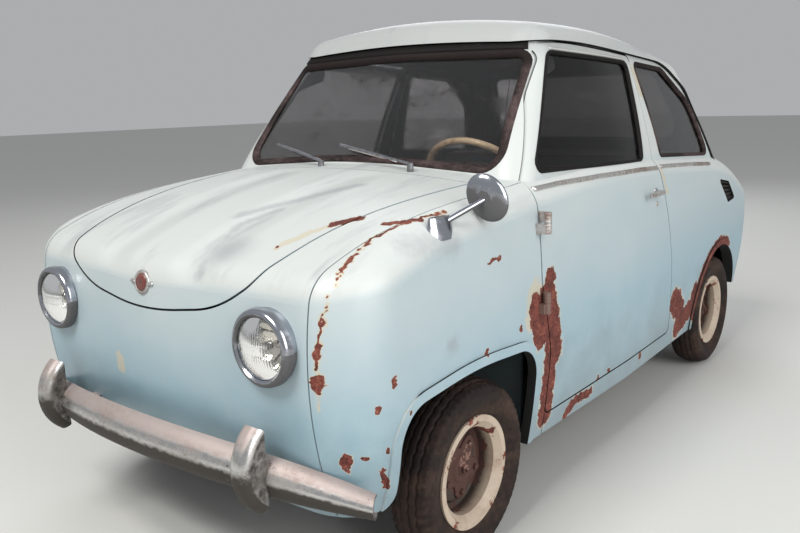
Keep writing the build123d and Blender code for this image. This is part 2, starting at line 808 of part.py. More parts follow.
with BuildPart() as rear_bench:
    add(cushion(((bench_front_y, bench_z + fit), (bench_front_y - 8, 420), (540, 398), (540, bench_z + fit)),
                0, 1000, 20))
    add(cushion(((540 + fit, bench_z + 10), (540 + fit, 420), (592, 790), (rear_bulkhead_y - fit, 800),
                 (rear_bulkhead_y - fit, bench_z + 10)), 0, 1000, 16))
save(rear_bench, "rear_bench")

# Headlamps: bucket and bezel by one revolve, a domed lens inside
lamp_seat_y = headlamp_face_y + 24
with BuildPart() as headlamp_rims:
    for x in (headlamp_x, -headlamp_x):
        with BuildSketch(Plane((x, 0, headlamp_z), x_dir=(1, 0, 0), z_dir=(0, 0, 1))):
            with BuildLine():
                Polyline((headlamp_r - 11, lamp_seat_y + 70), (headlamp_r - 4, lamp_seat_y + 70),
                         (headlamp_r - 4, lamp_seat_y), (headlamp_r, lamp_seat_y - 3),
                         (headlamp_r - 1, lamp_seat_y - 14))
                ThreePointArc((headlamp_r - 1, lamp_seat_y - 14), (headlamp_r - 5, lamp_seat_y - 22),
                              (headlamp_r - 13, headlamp_face_y))
                Polyline((headlamp_r - 13, headlamp_face_y), (headlamp_r - 17, headlamp_face_y + 4),
                         (headlamp_r - 17, lamp_seat_y), (headlamp_r - 11, lamp_seat_y + 4),
                         (headlamp_r - 11, lamp_seat_y + 70))
            make_face()
        revolve(axis=Axis((x, 0, headlamp_z), (0, 1, 0)))
save(headlamp_rims, "headlamp_rims")

with BuildPart() as headlamp_lenses:
    lens_r = headlamp_r - 17 - fit
    for x in (headlamp_x, -headlamp_x):
        with BuildSketch(Plane((x, 0, headlamp_z), x_dir=(1, 0, 0), z_dir=(0, 0, 1))):
            with BuildLine():
                ThreePointArc((0, headlamp_face_y - 10), (lens_r / 2, headlamp_face_y - 6.5),
                              (lens_r, headlamp_face_y + 6))
                Polyline((lens_r, headlamp_face_y + 6), (lens_r, headlamp_face_y + 18),
                         (0, headlamp_face_y + 18), (0, headlamp_face_y - 10))
            make_face()
        revolve(axis=Axis((x, 0, headlamp_z), (0, 1, 0)))
save(headlamp_lenses, "headlamp_lenses")


def bumper_blade(face_y, end_y, end_x):
    """A bowed channel across the car, open at the back, lower and slimmer towards its ends."""
    back = math.copysign(1, face_y)
    seat_y = back * bumper_d
    with BuildLine() as path:
        ThreePointArc((-end_x, end_y - seat_y, bumper_z - bumper_droop), (0, face_y - seat_y, bumper_z),
                      (end_x, end_y - seat_y, bumper_z - bumper_droop))
    right = [(0.5 + share / 2, height / 2) for share, height in bumper_sections]
    left = [(0.5 - share / 2, height / 2) for share, height in bumper_sections[:0:-1]]
    with BuildPart() as blade:
        for place, half in left + right:
            tangent = path.line % place
            with BuildSketch(Plane(path.line @ place, x_dir=(0, 0, 1), z_dir=(tangent.X, tangent.Y, 0))):
                with BuildLine():
                    for inset in (0, bumper_t):
                        ThreePointArc((inset - half, 0), (0, -(bumper_d - inset) * back), (half - inset, 0))
                    Line((-half, 0), (bumper_t - half, 0))
                    Line((half, 0), (half - bumper_t, 0))
                make_face()
        loft()
    return blade.part


def overrider(x, face_y):
    """A bulging upright guard with rounded edges."""
    back = math.copysign(1, face_y)
    half = overrider_h / 2
    with BuildPart() as guard:
        with BuildSketch(Plane.YZ.offset(x - overrider_w / 2)):
            with BuildLine():
                ThreePointArc((face_y - back * 46, overrider_z - half), (face_y, overrider_z),
                              (face_y - back * 46, overrider_z + half))
                Polyline((face_y - back * 46, overrider_z + half), (face_y - back * 62, overrider_z + half - 10),
                         (face_y - back * 62, overrider_z - half + 10), (face_y - back * 46, overrider_z - half))
            make_face()
        extrude(amount=overrider_w)
        fillet(guard.edges().filter_by(GeomType.CIRCLE), overrider_w * 0.4)
    return guard.part


for name, face_y, end_y, end_x, iron_y in bumper_ends:
    back = math.copysign(1, face_y)
    with BuildPart() as bumper:
        add(bumper_blade(face_y, end_y, end_x))
        share = (iron_x / end_x) ** 2
        bow = abs(face_y - end_y) * share
        for x in (-iron_x, iron_x):
            y0, y1 = sorted((iron_y, face_y - back * (bow + bumper_t / 2)))
            z = bumper_z - bumper_droop * share
            block(x - 18, x + 18, y0, y1, z - 18, z + 18)
        for x in (-overrider_x, overrider_x):
            add(overrider(x, face_y - back * 4))
        add(body_outer, mode=Mode.SUBTRACT)
    save(bumper, name)

# Tail lamps
with BuildPart() as tail_lamps:
    for x in (-tail_lamp_x, tail_lamp_x):
        with Locations(Location((x, tail_lamp_y, tail_lamp_z), (90, 0, 0))):
            Cylinder(36, 100)
    fillet(tail_lamps.edges().filter_by(GeomType.CIRCLE).group_by(Axis.Y)[-1], 14)
    add(body_outer, mode=Mode.SUBTRACT)
save(tail_lamps, "tail_lamps")

# Fender mirror on the left
with BuildPart() as fender_mirror:
    with BuildSketch(Plane.XY.offset(mirror_foot[2] - 30)):
        with Locations((mirror_foot[0], mirror_foot[1])):
            Ellipse(24, 50)
    extrude(amount=48, taper=14)
    ahead = -Vector(*mirror_face).normalized()
    across = ahead.cross(Vector(*mirror_up))
    stalk = Vector(*mirror_head) + ahead * 8 - Vector(*mirror_foot)
    with BuildSketch(Plane(mirror_foot, z_dir=stalk)):
        Circle(7)
    extrude(amount=stalk.length)
    with BuildPart(mode=Mode.PRIVATE) as head:
        for reach, half_width, half_height in mirror_ovals:
            with BuildSketch(Plane(Vector(*mirror_head) + ahead * reach, x_dir=across, z_dir=ahead)):
                Ellipse(half_width, half_height)
        loft()
    add(head.part)
    add(body_outer, mode=Mode.SUBTRACT)
save(fender_mirror, "fender_mirror")

# Wipers: spindle, arm and blade for each
with BuildPart() as wipers:
    for pivot_x, tip_x in wiper_spans:
        pivot = Vector(pivot_x, wiper_y, wiper_z)
        tip = Vector(tip_x, wiper_y + 28, wiper_z + 46)
        with BuildSketch(Plane.XY.offset(wiper_z - 60)):
            with Locations((pivot_x, wiper_y)):
                Circle(9)
        extrude(amount=62)
        with BuildSketch(Plane(pivot, z_dir=tip - pivot)):
            Rectangle(7, 7)
        extrude(amount=(tip - pivot).length)
    add(body_outer, mode=Mode.SUBTRACT)
    add(greenhouse_outer, mode=Mode.SUBTRACT)
save(wipers, "wipers")

# Engine and gearbox
with BuildPart() as engine_block:
    block(-engine_w / 2, engine_w / 2, engine_y, engine_y + engine_l, engine_z, engine_z + engine_h)
    fillet(engine_block.edges(), 25)
save(engine_block, "engine_block")


def rod(start, end, r):
    """A round bar between two points."""
    run = Vector(*end) - Vector(*start)
    with BuildPart() as bar:
        with BuildSketch(Plane(start, z_dir=run)):
            Circle(r)
        extrude(amount=run.length)
    return bar.part


def spring(x, y, low_z, high_z):
    """A coil spring round its damper, as a ribbed sleeve."""
    pitch = (high_z - low_z) / 6
    with BuildPart() as coil:
        with BuildSketch(Plane((x, y, 0), x_dir=(1, 0, 0), z_dir=(0, -1, 0))):
            with BuildLine():
                Polyline((22, low_z), (0, low_z), (0, high_z), (22, high_z))
                for turn in range(6):
                    z = low_z + turn * pitch
                    ThreePointArc((22, z), (22 + pitch / 3, z + pitch / 2), (22, z + pitch))
            make_face()
        revolve(axis=Axis((x, y, 0), (0, 0, 1)))
    return coil.part


stub_end_x = wheel_x + disc_x + 14
plate_x = wheel_x - rim_w / 2 - 3

# Front axle beam with its kingpin forks and springs
with BuildPart() as front_axle:
    rod_x(-kingpin_x + 60, kingpin_x - 60, front_axle_y, axle_z, beam_r)
    for side in (-1, 1):
        inner, outer = sorted((side * (kingpin_x - 68), side * (kingpin_x - 44)))
        block(inner, outer, front_axle_y - 24, front_axle_y + 24, axle_z - 66, axle_z + 66)
        inner, outer = sorted((side * (kingpin_x - 46), side * (kingpin_x + 16)))
        for z in (axle_z - 66, axle_z + 52):
            block(inner, outer, front_axle_y - 16, front_axle_y + 16, z, z + 14)
        with Locations((side * kingpin_x, front_axle_y, axle_z)):
            Cylinder(kingpin_r, 128)
        add(spring(side * 396, front_axle_y, axle_z + 66, spring_top_z))
save(front_axle, "front_axle")

# Knuckle: sleeve on the kingpin, brake plate and wheel stub
with BuildPart() as knuckle_left:
    with Locations((kingpin_x, front_axle_y, axle_z)):
        Cylinder(20, knuckle_h)
    rod_x(kingpin_x, stub_end_x, front_axle_y, axle_z, stub_r)
    rod_x(kingpin_x, plate_x, front_axle_y, axle_z, 19)
    rod_x(plate_x - 4, plate_x, front_axle_y, axle_z, drum_r + 4)
    with Locations((kingpin_x, front_axle_y, axle_z)):
        Cylinder(kingpin_r + running_fit, knuckle_h, mode=Mode.SUBTRACT)
save(knuckle_left, "knuckle_left")

with BuildPart() as knuckle_right:
    mirror(knuckle_left.part, about=Plane.YZ)
save(knuckle_right, "knuckle_right")

# Rear axle: gearbox, half shafts, trailing arms, springs and stubs
with BuildPart() as rear_axle:
    block(-110, 110, 800, engine_y, 180, 330)
    for side in (-1, 1):
        rod_x(side * 100, side * plate_x, rear_axle_y, axle_z, 20)
        rod_x(side * plate_x, side * stub_end_x, rear_axle_y, axle_z, stub_r)
        rod_x(side * (plate_x - 4), side * plate_x, rear_axle_y, axle_z, drum_r + 4)
        add(rod((side * 380, rear_bulkhead_y + bulkhead_t, 300), (side * 425, rear_axle_y, axle_z), 17))
        add(spring(side * 425, rear_axle_y, axle_z + 10, spring_top_z))
    block(-600, 600, 400, rear_bulkhead_y + bulkhead_t, 0, 600, mode=Mode.SUBTRACT)
save(rear_axle, "rear_axle")

# Exhaust under the engine
with BuildPart() as exhaust:
    rod_x(-150, 150, engine_y + engine_l - 60, engine_z - 52, 50)
    add(rod((-110, engine_y + engine_l - 60, engine_z - 104), (-110, 1420, 170), 14))
    block(90, 120, engine_y + engine_l - 70, engine_y + engine_l - 50, engine_z - 40, engine_z)
save(exhaust, "exhaust")


def rim(x, y, side):
    """A dished pressed wheel with its brake drum; side is the way its open face points."""
    half = rim_w / 2
    profile = (
        # distance outboard of the wheel's middle, radius
        (half, flange_r), (half, bead_r - 4), (30, well_r - 4), (-14, well_r - 4), (-20, drum_r + 9),
        (disc_x - 4, drum_r - 2), (disc_x, 60), (disc_x, 36), (disc_x + 10, 32),
        (disc_x + 10, stub_r + running_fit), (-half + 4, stub_r + running_fit), (-half + 4, drum_r),
        (-24, drum_r), (-26, well_r - 4), (-30, well_r - 4), (-half, bead_r - 4), (-half, flange_r),
        (-half + 5, flange_r), (-half + 5, bead_r), (-26, bead_r), (-20, well_r + 2), (20, well_r + 2),
        (26, bead_r), (half - 5, bead_r), (half - 5, flange_r),
    )
    with BuildPart() as wheel:
        with BuildSketch(Plane((x, y, axle_z), x_dir=(side, 0, 0), z_dir=(0, -side, 0))):
            with BuildLine():
                Polyline(*profile, close=True)
            make_face()
        revolve(axis=Axis((x, y, axle_z), (1, 0, 0)))
        with BuildSketch(Plane((x + side * (disc_x + 1), y, axle_z), x_dir=(0, side, 0), z_dir=(side, 0, 0))):
            for turn in range(vent_count):
                middle = 90 + turn * 360 / vent_count
                SlotArc(CenterArc((0, 0), vent_r, middle - vent_arc / 2, vent_arc), vent_w)
        extrude(amount=-vent_depth - 1, mode=Mode.SUBTRACT)
    return wheel


def tyre(x, y):
    """A cross-ply tyre with rounded shoulders, seated on the rim's beads."""
    half = tyre_w / 2
    seat = rim_w / 2 - 5 - fit
    with BuildPart() as ring:
        with BuildSketch(Plane((x, y, axle_z), x_dir=(1, 0, 0), z_dir=(0, -1, 0))):
            with BuildLine():
                Polyline((-seat, flange_r + 4), (-seat, bead_r + fit), (seat, bead_r + fit), (seat, flange_r + 4))
                ThreePointArc((seat, flange_r + 4), (half, tyre_r - 42), (half - 10, tyre_r - 12))
                ThreePointArc((half - 10, tyre_r - 12), (0, tyre_r), (10 - half, tyre_r - 12))
                ThreePointArc((10 - half, tyre_r - 12), (-half, tyre_r - 42), (-seat, flange_r + 4))
            make_face()
        revolve(axis=Axis((x, y, axle_z), (1, 0, 0)))
    return ring


for end, y in (("front", front_axle_y), ("rear", rear_axle_y)):
    for hand, side in (("left", 1), ("right", -1)):
        save(rim(side * wheel_x, y, side), f"rim_{end}_{hand}")
        save(tyre(side * wheel_x, y), f"tyre_{end}_{hand}")
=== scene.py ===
"""Looks of a weathered two-door saloon microcar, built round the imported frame.

Metres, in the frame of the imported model: the front points to -Y, the car's left to +X and up is +Z.
"""
import logging
import math
from collections.abc import Callable, Iterable, Sequence
from dataclasses import dataclass, field
from enum import Enum

import bpy
from mathutils import Matrix, Vector
from mathutils.bvhtree import BVHTree


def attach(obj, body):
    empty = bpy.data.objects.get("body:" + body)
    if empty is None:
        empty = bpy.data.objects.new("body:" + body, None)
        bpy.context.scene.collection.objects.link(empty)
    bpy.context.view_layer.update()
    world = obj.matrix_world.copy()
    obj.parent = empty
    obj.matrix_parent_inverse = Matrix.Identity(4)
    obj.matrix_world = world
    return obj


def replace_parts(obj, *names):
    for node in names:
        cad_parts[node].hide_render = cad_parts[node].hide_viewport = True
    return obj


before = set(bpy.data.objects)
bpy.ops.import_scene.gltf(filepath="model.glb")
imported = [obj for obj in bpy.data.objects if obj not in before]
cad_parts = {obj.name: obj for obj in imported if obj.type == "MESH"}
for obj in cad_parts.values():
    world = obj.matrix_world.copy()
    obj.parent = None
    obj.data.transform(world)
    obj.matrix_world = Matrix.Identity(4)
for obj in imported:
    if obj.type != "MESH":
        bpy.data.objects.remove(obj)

log = logging.getLogger("microcar")

Color = tuple[float, float, float]
# A place in the car's frame, or a corner of an outline: along or across, up, and the corner's radius.
Point = tuple[float, float, float]
# Rows of two numbers. A section's corners are (along the axis, radius) where it is turned round, and
# (across, out) where it is swept along a line.
Pairs = tuple[tuple[float, float], ...]
Socket = bpy.types.NodeSocket
Value = Socket | float | tuple[float, ...]

# Trim starts this far from the car's middle and falls on it, from beside or from ahead and behind.
BESIDE = 2.0
AHEAD = 3.0
# The middle of each wheel.
WHEEL_X = 0.545
AXLE_Z = 0.226
LEFTWARDS = Vector((1, 0, 0))
BACKWARDS = Vector((0, 1, 0))
UPWARDS = Vector((0, 0, 1))


class Spelled(Enum):
    """A choice whose name is part of the names of CAD nodes and bodies."""

    @property
    def word(self) -> str:
        """The choice's name as they spell it."""
        return self.name.lower()


class Hand(Spelled):
    """The side of the car, with the sign of its x."""

    LEFT = 1
    RIGHT = -1

    @property
    def inward(self) -> Vector:
        """The direction from this side to the car's middle."""
        return Vector((-self.value, 0, 0))

    def beyond(self, y: float, z: float) -> Vector:
        """A point well outside this side, from which trim falls on it."""
        return Vector((BESIDE * self.value, y, z))


class End(Spelled):
    """The end of the car, with its axle's y."""

    FRONT = -0.890
    REAR = 0.910

    @property
    def inward(self) -> Vector:
        """The direction from this end to the car's middle."""
        return BACKWARDS if self is End.FRONT else -BACKWARDS

    def beyond(self, x: float, z: float) -> Vector:
        """A point well outside this end, from which trim falls on it."""
        return Vector((x, math.copysign(AHEAD, self.value), z))


class Sewn(Enum):
    """The way in which a pad's sewn face looks."""

    UP = "up"
    FORWARD = "forward"


# Shader trees and shared effects


class ShaderTree:
    """A node tree under construction, with short calls for the nodes that the finishes use."""

    def __init__(self, tree: bpy.types.NodeTree) -> None:
        """Keep the tree that the calls add to."""
        self.tree = tree

    def node(self, kind: str, **settings: object) -> bpy.types.Node:
        """Add a node and set its options.

        Args:
            kind: the node's type name.
            settings: option names and their values.

        Returns:
            The new node.
        """
        made = self.tree.nodes.new(kind)
        for name, value in settings.items():
            setattr(made, name, value)
        return made

    def feed(self, socket: Socket, value: Value) -> None:
        """Link a socket to another one, or set it to a plain value.

        Args:
            socket: the input to feed.
            value: a socket to link, a number, or a colour or vector of three numbers.
        """
        if isinstance(value, bpy.types.NodeSocket):
            self.tree.links.new(value, socket)
        elif isinstance(value, tuple) and socket.type == "RGBA":
            socket.default_value = (*value[:3], 1.0)
        else:
            socket.default_value = value

    def math(self, operation: str, a: Value, b: Value = 0.0, c: Value = 0.0, clamp: bool = False) -> Socket:
        """One step of arithmetic.

        Args:
            operation: the Math node's operation.
            a: first number.
            b: second number.
            c: third number, where the operation has one.
            clamp: keep the result between 0 and 1.

        Returns:
            The result's socket.
        """
        made = self.node("ShaderNodeMath", operation=operation, use_clamp=clamp)
        for socket, value in zip(made.inputs, (a, b, c)):
            self.feed(socket, value)
        return made.outputs[0]

    def times(self, a: Value, b: Value, clamp: bool = False) -> Socket:
        """The product of two numbers."""
        return self.math("MULTIPLY", a, b, clamp=clamp)

    def radius_of(self, a: Value, b: Value) -> Socket:
        """The length of two distances at right angles."""
        return self.math("SQRT", self.math("MULTIPLY_ADD", a, a, self.times(b, b)))

    def axes(self, value: Socket) -> bpy.types.NodeOutputs:
        """Split a vector.

        Args:
            value: the vector.

        Returns:
            The outputs X, Y and Z.
        """
        made = self.node("ShaderNodeSeparateXYZ")
        self.feed(made.inputs[0], value)
        return made.outputs

    def vector(self, operation: str, a: Value, b: Value = (0.0, 0.0, 0.0)) -> bpy.types.Node:
        """One step of vector arithmetic.

        Args:
            operation: the Vector Math node's operation.
            a: first vector.
            b: second vector.

        Returns:
            The node, with its Vector and Value outputs.
        """
        made = self.node("ShaderNodeVectorMath", operation=operation)
        self.feed(made.inputs[0], a)
        self.feed(made.inputs[1], b)
        return made

    def ease(self, value: Value, low: float, high: float) -> Socket:
        """A smooth rise from 0 at low to 1 at high.

        Args:
            value: the number to map.
            low: where the result is 0.
            high: where the result is 1.

        Returns:
            The mapped socket.
        """
        made = self.node("ShaderNodeMapRange", interpolation_type="SMOOTHSTEP")
        self.feed(made.inputs["Value"], value)
        made.inputs["From Min"].default_value = low
        made.inputs["From Max"].default_value = high
        return made.outputs["Result"]

    def mix(self, mask: Value, a: Value, b: Value) -> Socket:
        """Blend two colours.

        Args:
            mask: 0 gives a, 1 gives b.
            a: the lower colour.
            b: the upper colour.

        Returns:
            The blended colour's socket.
        """
        made = self.node("ShaderNodeMix", data_type="RGBA")
        self.feed(made.inputs[0], mask)
        self.feed(made.inputs[6], a)
        self.feed(made.inputs[7], b)
        return made.outputs[2]

    def lerp(self, mask: Value, a: Value, b: Value) -> Socket:
        """Blend two numbers.

        Args:
            mask: 0 gives a, 1 gives b.
            a: the lower number.
            b: the upper number.

        Returns:
            The blended number's socket.
        """
        made = self.node("ShaderNodeMix", data_type="FLOAT")
        self.feed(made.inputs[0], mask)
        self.feed(made.inputs[2], a)
        self.feed(made.inputs[3], b)
        return made.outputs[0]

    def cloud(self, place: Socket, scale: float, detail: float = 4.0,
              stretch: tuple[float, float, float] = (1.0, 1.0, 1.0)) -> Socket:
        """Fractal noise around 0.5.

        Args:
            place: the position that it follows.
            scale: cells per metre.
            detail: octaves.
            stretch: how the position is scaled along each axis first.

        Returns:
            The noise value's socket.
        """
        made = self.node("ShaderNodeTexNoise")
        source = place if stretch == (1.0, 1.0, 1.0) else self.vector("MULTIPLY", place, stretch).outputs[0]
        self.feed(made.inputs["Vector"], source)
        made.inputs["Scale"].default_value = scale
        made.inputs["Detail"].default_value = detail
        made.inputs["Roughness"].default_value = 0.6
        return made.outputs[0]

    def ramp(self, value: Socket, stops: Sequence[tuple[float, Color]]) -> Socket:
        """A colour ramp.

        Args:
            value: the number that picks the colour.
            stops: places from 0 to 1, each with its colour.

        Returns:
            The colour's socket.
        """
        made = self.node("ShaderNodeValToRGB")
        ramp = made.color_ramp
        while len(ramp.elements) < len(stops):
            ramp.elements.new(0.5)
        for element, (place, color) in zip(ramp.elements, stops):
            element.position = place
            element.color = (*color, 1.0)
        self.feed(made.inputs[0], value)
        return made.outputs[0]

    def use(self, effect: "Effect", **values: Value) -> dict[str, Socket]:
        """Place a shared effect.

        Args:
            effect: the effect's group.
            values: its inputs by name, with spaces as underscores.

        Returns:
            Its outputs by name.
        """
        made = self.node("ShaderNodeGroup")
        made.node_tree = effect.tree()
        for name, value in values.items():
            self.feed(made.inputs[name.replace("_", " ")], value)
        return {socket.name: socket for socket in made.outputs}


class MaterialTree(ShaderTree):
    """A material's tree, with its one shader and where the surface lies and looks, in the car's frame."""

    def __init__(self, tree: bpy.types.NodeTree) -> None:
        """Add the shader and read the surface's place and facing.

        Args:
            tree: the material's empty tree.
        """
        super().__init__(tree)
        self.shader = self.node("ShaderNodeBsdfPrincipled")
        target = self.node("ShaderNodeOutputMaterial")
        self.feed(target.inputs["Surface"], self.shader.outputs[0])
        source = self.node("ShaderNodeTexCoord")
        self.place: Socket = source.outputs["Object"]
        self.facing: Socket = source.outputs["Normal"]

    def set(self, name: str, value: Value) -> None:
        """Feed one input of the shader, or set it to a plain value."""
        self.feed(self.shader.inputs[name], value)

    def use(self, effect: "Effect", **values: Value) -> dict[str, Socket]:
        """Place a shared effect, at the surface's own place and facing where it asks for them.

        Args:
            effect: the effect's group.
            values: its other inputs by name, with spaces as underscores.

        Returns:
            Its outputs by name.
        """
        own = {"Position": self.place, "Facing": self.facing}
        asked = {name: socket for name, socket in own.items() if name in effect.inputs}
        return super().use(effect, **{**asked, **values})

    def bump(self, height: Socket, strength: Value, depth: float) -> None:
        """Feed a height into the shader's normal, on top of an earlier one.

        Args:
            height: the height's socket.
            strength: how much of it shows.
            depth: the real depth in metres.
        """
        made = self.node("ShaderNodeBump")
        self.feed(made.inputs["Strength"], strength)
        made.inputs["Distance"].default_value = depth
        self.feed(made.inputs["Height"], height)
        for earlier in list(self.shader.inputs["Normal"].links):
            self.feed(made.inputs["Normal"], earlier.from_socket)
        self.set("Normal", made.outputs[0])


@dataclass
class Effect:
    """A shader node group that several finishes share: named inputs, named outputs and its making."""

    name: str
    inputs: dict[str, str]
    outputs: dict[str, str]
    build: Callable[[ShaderTree, dict[str, Socket]], dict[str, Value]]

    def tree(self) -> bpy.types.NodeTree:
        """Build the group on first use.

        Returns:
            The group.
        """
        known = bpy.data.node_groups.get(self.name)
        if known:
            return known
        group = bpy.data.node_groups.new(self.name, "ShaderNodeTree")
        for way, sockets in (("INPUT", self.inputs), ("OUTPUT", self.outputs)):
            for label, kind in sockets.items():
                group.interface.new_socket(name=label, in_out=way, socket_type=f"NodeSocket{kind}")
        work = ShaderTree(group)
        source = work.node("NodeGroupInput")
        target = work.node("NodeGroupOutput")
        results = self.build(work, {socket.name: socket for socket in source.outputs if socket.name})
        for label, value in results.items():
            work.feed(target.inputs[label], value)
        return group


def build_blob(work: ShaderTree, given: dict[str, Socket]) -> dict[str, Value]:
    """Make the field of one round mark: 1 at its middle, 0 at its edge, kept with the fields before it.

    Args:
        work: the group's tree.
        given: its inputs.

    Returns:
        Its outputs.
    """
    reach = work.vector("DISTANCE", given["Position"], given["Start"]).outputs["Value"]
    here = work.math("SUBTRACT", 1.0, work.times(reach, given["Sharpness"]))
    return {"Field": work.math("MAXIMUM", here, given["Before"])}


def build_streak(work: ShaderTree, given: dict[str, Socket]) -> dict[str, Value]:
    """Make the field of one straight streak, from the distance to the line between its two ends.

    Args:
        work: the group's tree.
        given: its inputs, with the run to the end, its squared length and where the start lies along it.

    Returns:
        Its outputs.
    """
    reach = work.vector("DISTANCE", given["Position"], given["Start"]).outputs["Value"]
    dot = work.vector("DOT_PRODUCT", given["Position"], given["Run"]).outputs["Value"]
    along = work.math("SUBTRACT", dot, given["Offset"])
    share = work.math("DIVIDE", along, given["Squared"], clamp=True)
    part = work.math("SUBTRACT", work.times(share, given["Squared"]), work.times(along, 2.0))
    square = work.math("ADD", work.times(reach, reach), work.times(share, part))
    gap = work.math("SQRT", work.math("MAXIMUM", square, 0.0))
    here = work.math("SUBTRACT", 1.0, work.times(gap, given["Sharpness"]))
    return {"Field": work.math("MAXIMUM", here, given["Before"])}


def build_warp(work: ShaderTree, given: dict[str, Socket]) -> dict[str, Value]:
    """Push positions about, so that the edges of marks wander.

    Args:
        work: the group's tree.
        given: its inputs.

    Returns:
        Its outputs.
    """
    made = work.node("ShaderNodeTexNoise")
    work.feed(made.inputs["Vector"], given["Position"])
    made.inputs["Scale"].default_value = 55.0
    made.inputs["Detail"].default_value = 5.0
    push = work.vector("SUBTRACT", made.outputs["Color"], (0.5, 0.5, 0.5)).outputs[0]
    sized = work.node("ShaderNodeVectorMath", operation="SCALE")
    work.feed(sized.inputs[0], push)
    work.feed(sized.inputs["Scale"], given["Amount"])
    return {"Position": work.vector("ADD", given["Position"], sized.outputs[0]).outputs[0]}


def axle_offsets(work: ShaderTree, place: Socket) -> tuple[Socket, Socket]:
    """How far back and how far up a place lies from the nearest axle.

    Args:
        work: the tree to add to.
        place: the position to judge.

    Returns:
        The distance along the car and the height, each with its sign.
    """
    split = work.axes(place)
    half_base = (End.REAR.value - End.FRONT.value) / 2
    middle = (End.REAR.value + End.FRONT.value) / 2
    axle = work.math("MULTIPLY_ADD", work.math("SIGN", split["Y"]), half_base, middle)
    return work.math("SUBTRACT", split["Y"], axle), work.math("SUBTRACT", split["Z"], AXLE_Z)


def build_shade_inside(work: ShaderTree, given: dict[str, Socket]) -> dict[str, Value]:
    """Make the mask of painted shade: faces that look in towards the car's middle, at the cabin, the bays and
    the shut lines, and the inner walls of the wheel arches.

    Args:
        work: the group's tree.
        given: its inputs.

    Returns:
        Its outputs.
    """
    away = work.vector("SUBTRACT", given["Position"], (0.0, 0.0, 0.72)).outputs[0]
    flat = work.vector("MULTIPLY", away, (1.0, 0.55, 1.2)).outputs[0]
    out = work.vector("NORMALIZE", flat).outputs[0]
    facing = work.vector("DOT_PRODUCT", out, given["Facing"])
    inward = work.ease(facing.outputs["Value"], 0.03, -0.12)
    apart, depth = axle_offsets(work, given["Position"])
    turned = work.axes(given["Facing"])
    along = work.times(turned["Y"], apart)
    toward = work.math("DIVIDE", work.math("MULTIPLY_ADD", turned["Z"], depth, along),
                       work.math("ADD", work.radius_of(apart, depth), 0.001))
    arch_wall_shade = work.times(work.ease(toward, -0.55, -0.75), work.ease(work.radius_of(apart, depth), 0.44, 0.40))
    return {"Mask": work.math("MAXIMUM", inward, arch_wall_shade)}


def build_rust_look(work: ShaderTree, given: dict[str, Socket]) -> dict[str, Value]:
    """Make ragged rust with a pale primer edge from a field.

    Args:
        work: the group's tree.
        given: its inputs.

    Returns:
        Its outputs.
    """
    place = given["Position"]
    coarse = work.cloud(place, 26.0, 5.0)
    fine = work.cloud(place, 140.0, 4.0)
    ragged = work.times(work.math("SUBTRACT", coarse, 0.5), given["Ragged"])
    crumbs = work.times(work.math("SUBTRACT", fine, 0.5), 0.35)
    edge = work.math("ADD", work.math("ADD", given["Field"], ragged), crumbs)
    mask = work.ease(edge, -0.02, 0.05)
    halo = work.math("SUBTRACT", work.ease(edge, -0.20, -0.04), mask, clamp=True)
    tone = work.math("ADD", work.times(fine, 0.55), work.times(coarse, 0.5))
    color = work.ramp(tone, ((0.34, (0.026, 0.007, 0.006)), (0.46, (0.088, 0.019, 0.014)),
                             (0.58, (0.170, 0.043, 0.030)), (0.72, (0.340, 0.137, 0.085))))
    height = work.times(mask, work.math("SUBTRACT", fine, 1.1))
    return {"Mask": mask, "Halo": halo, "Color": color, "Height": height}


def build_fade(work: ShaderTree, given: dict[str, Socket]) -> dict[str, Value]:
    """Make the mask of what the sun has bleached: faces that look up, in uneven clouds.

    Args:
        work: the group's tree.
        given: its inputs.

    Returns:
        Its outputs.
    """
    up = work.axes(given["Facing"])
    soft = work.cloud(given["Position"], 2.2, 3.0, (1.0, 0.45, 1.0))
    lean = work.math("ADD", up["Z"], work.times(work.math("SUBTRACT", soft, 0.5), 0.5))
    return {"Mask": work.ease(lean, -0.50, 0.85), "Up": work.ease(up["Z"], 0.1, 0.9)}


def build_grime(work: ShaderTree, given: dict[str, Socket]) -> dict[str, Value]:
    """Make the mask of road dirt that thickens towards the ground.

    Args:
        work: the group's tree.
        given: its inputs.

    Returns:
        Its outputs.
    """
    split = work.axes(given["Position"])
    blotch = work.cloud(given["Position"], 7.0, 5.0)
    lift = work.times(work.math("SUBTRACT", blotch, 0.5), 0.45)
    low = work.math("SUBTRACT", 1.0, work.ease(work.math("ADD", split["Z"], lift), 0.12, 0.52))
    return {"Mask": work.times(low, given["Amount"], clamp=True)}


def build_pitting(work: ShaderTree, given: dict[str, Socket]) -> dict[str, Value]:
    """Make small pits in clusters.

    Args:
        work: the group's tree.
        given: its inputs.

    Returns:
        Its outputs.
    """
    spots = work.cloud(given["Position"], 260.0, 3.0)
    where = work.cloud(given["Position"], 9.0, 4.0)
    both = work.math("ADD", spots, work.times(work.math("SUBTRACT", where, 0.5), 0.8))
    mask = work.ease(work.math("ADD", both, given["Density"]), 0.64, 0.74)
    return {"Mask": mask, "Height": work.times(mask, -1.0)}


def build_stain(work: ShaderTree, given: dict[str, Socket]) -> dict[str, Value]:
    """Make a thin broken film, such as rust on chrome or dust on glass.

    Args:
        work: the group's tree.
        given: its inputs.

    Returns:
        Its outputs.
    """
    wide = work.cloud(given["Position"], 5.0, 4.0, (1.0, 1.0, 2.6))
    fine = work.cloud(given["Position"], 60.0, 5.0)
    sum_up = work.math("ADD", work.times(wide, 0.65), work.times(fine, 0.35))
    return {"Mask": work.ease(work.math("ADD", sum_up, given["Amount"]), 0.42, 0.72), "Fine": fine}


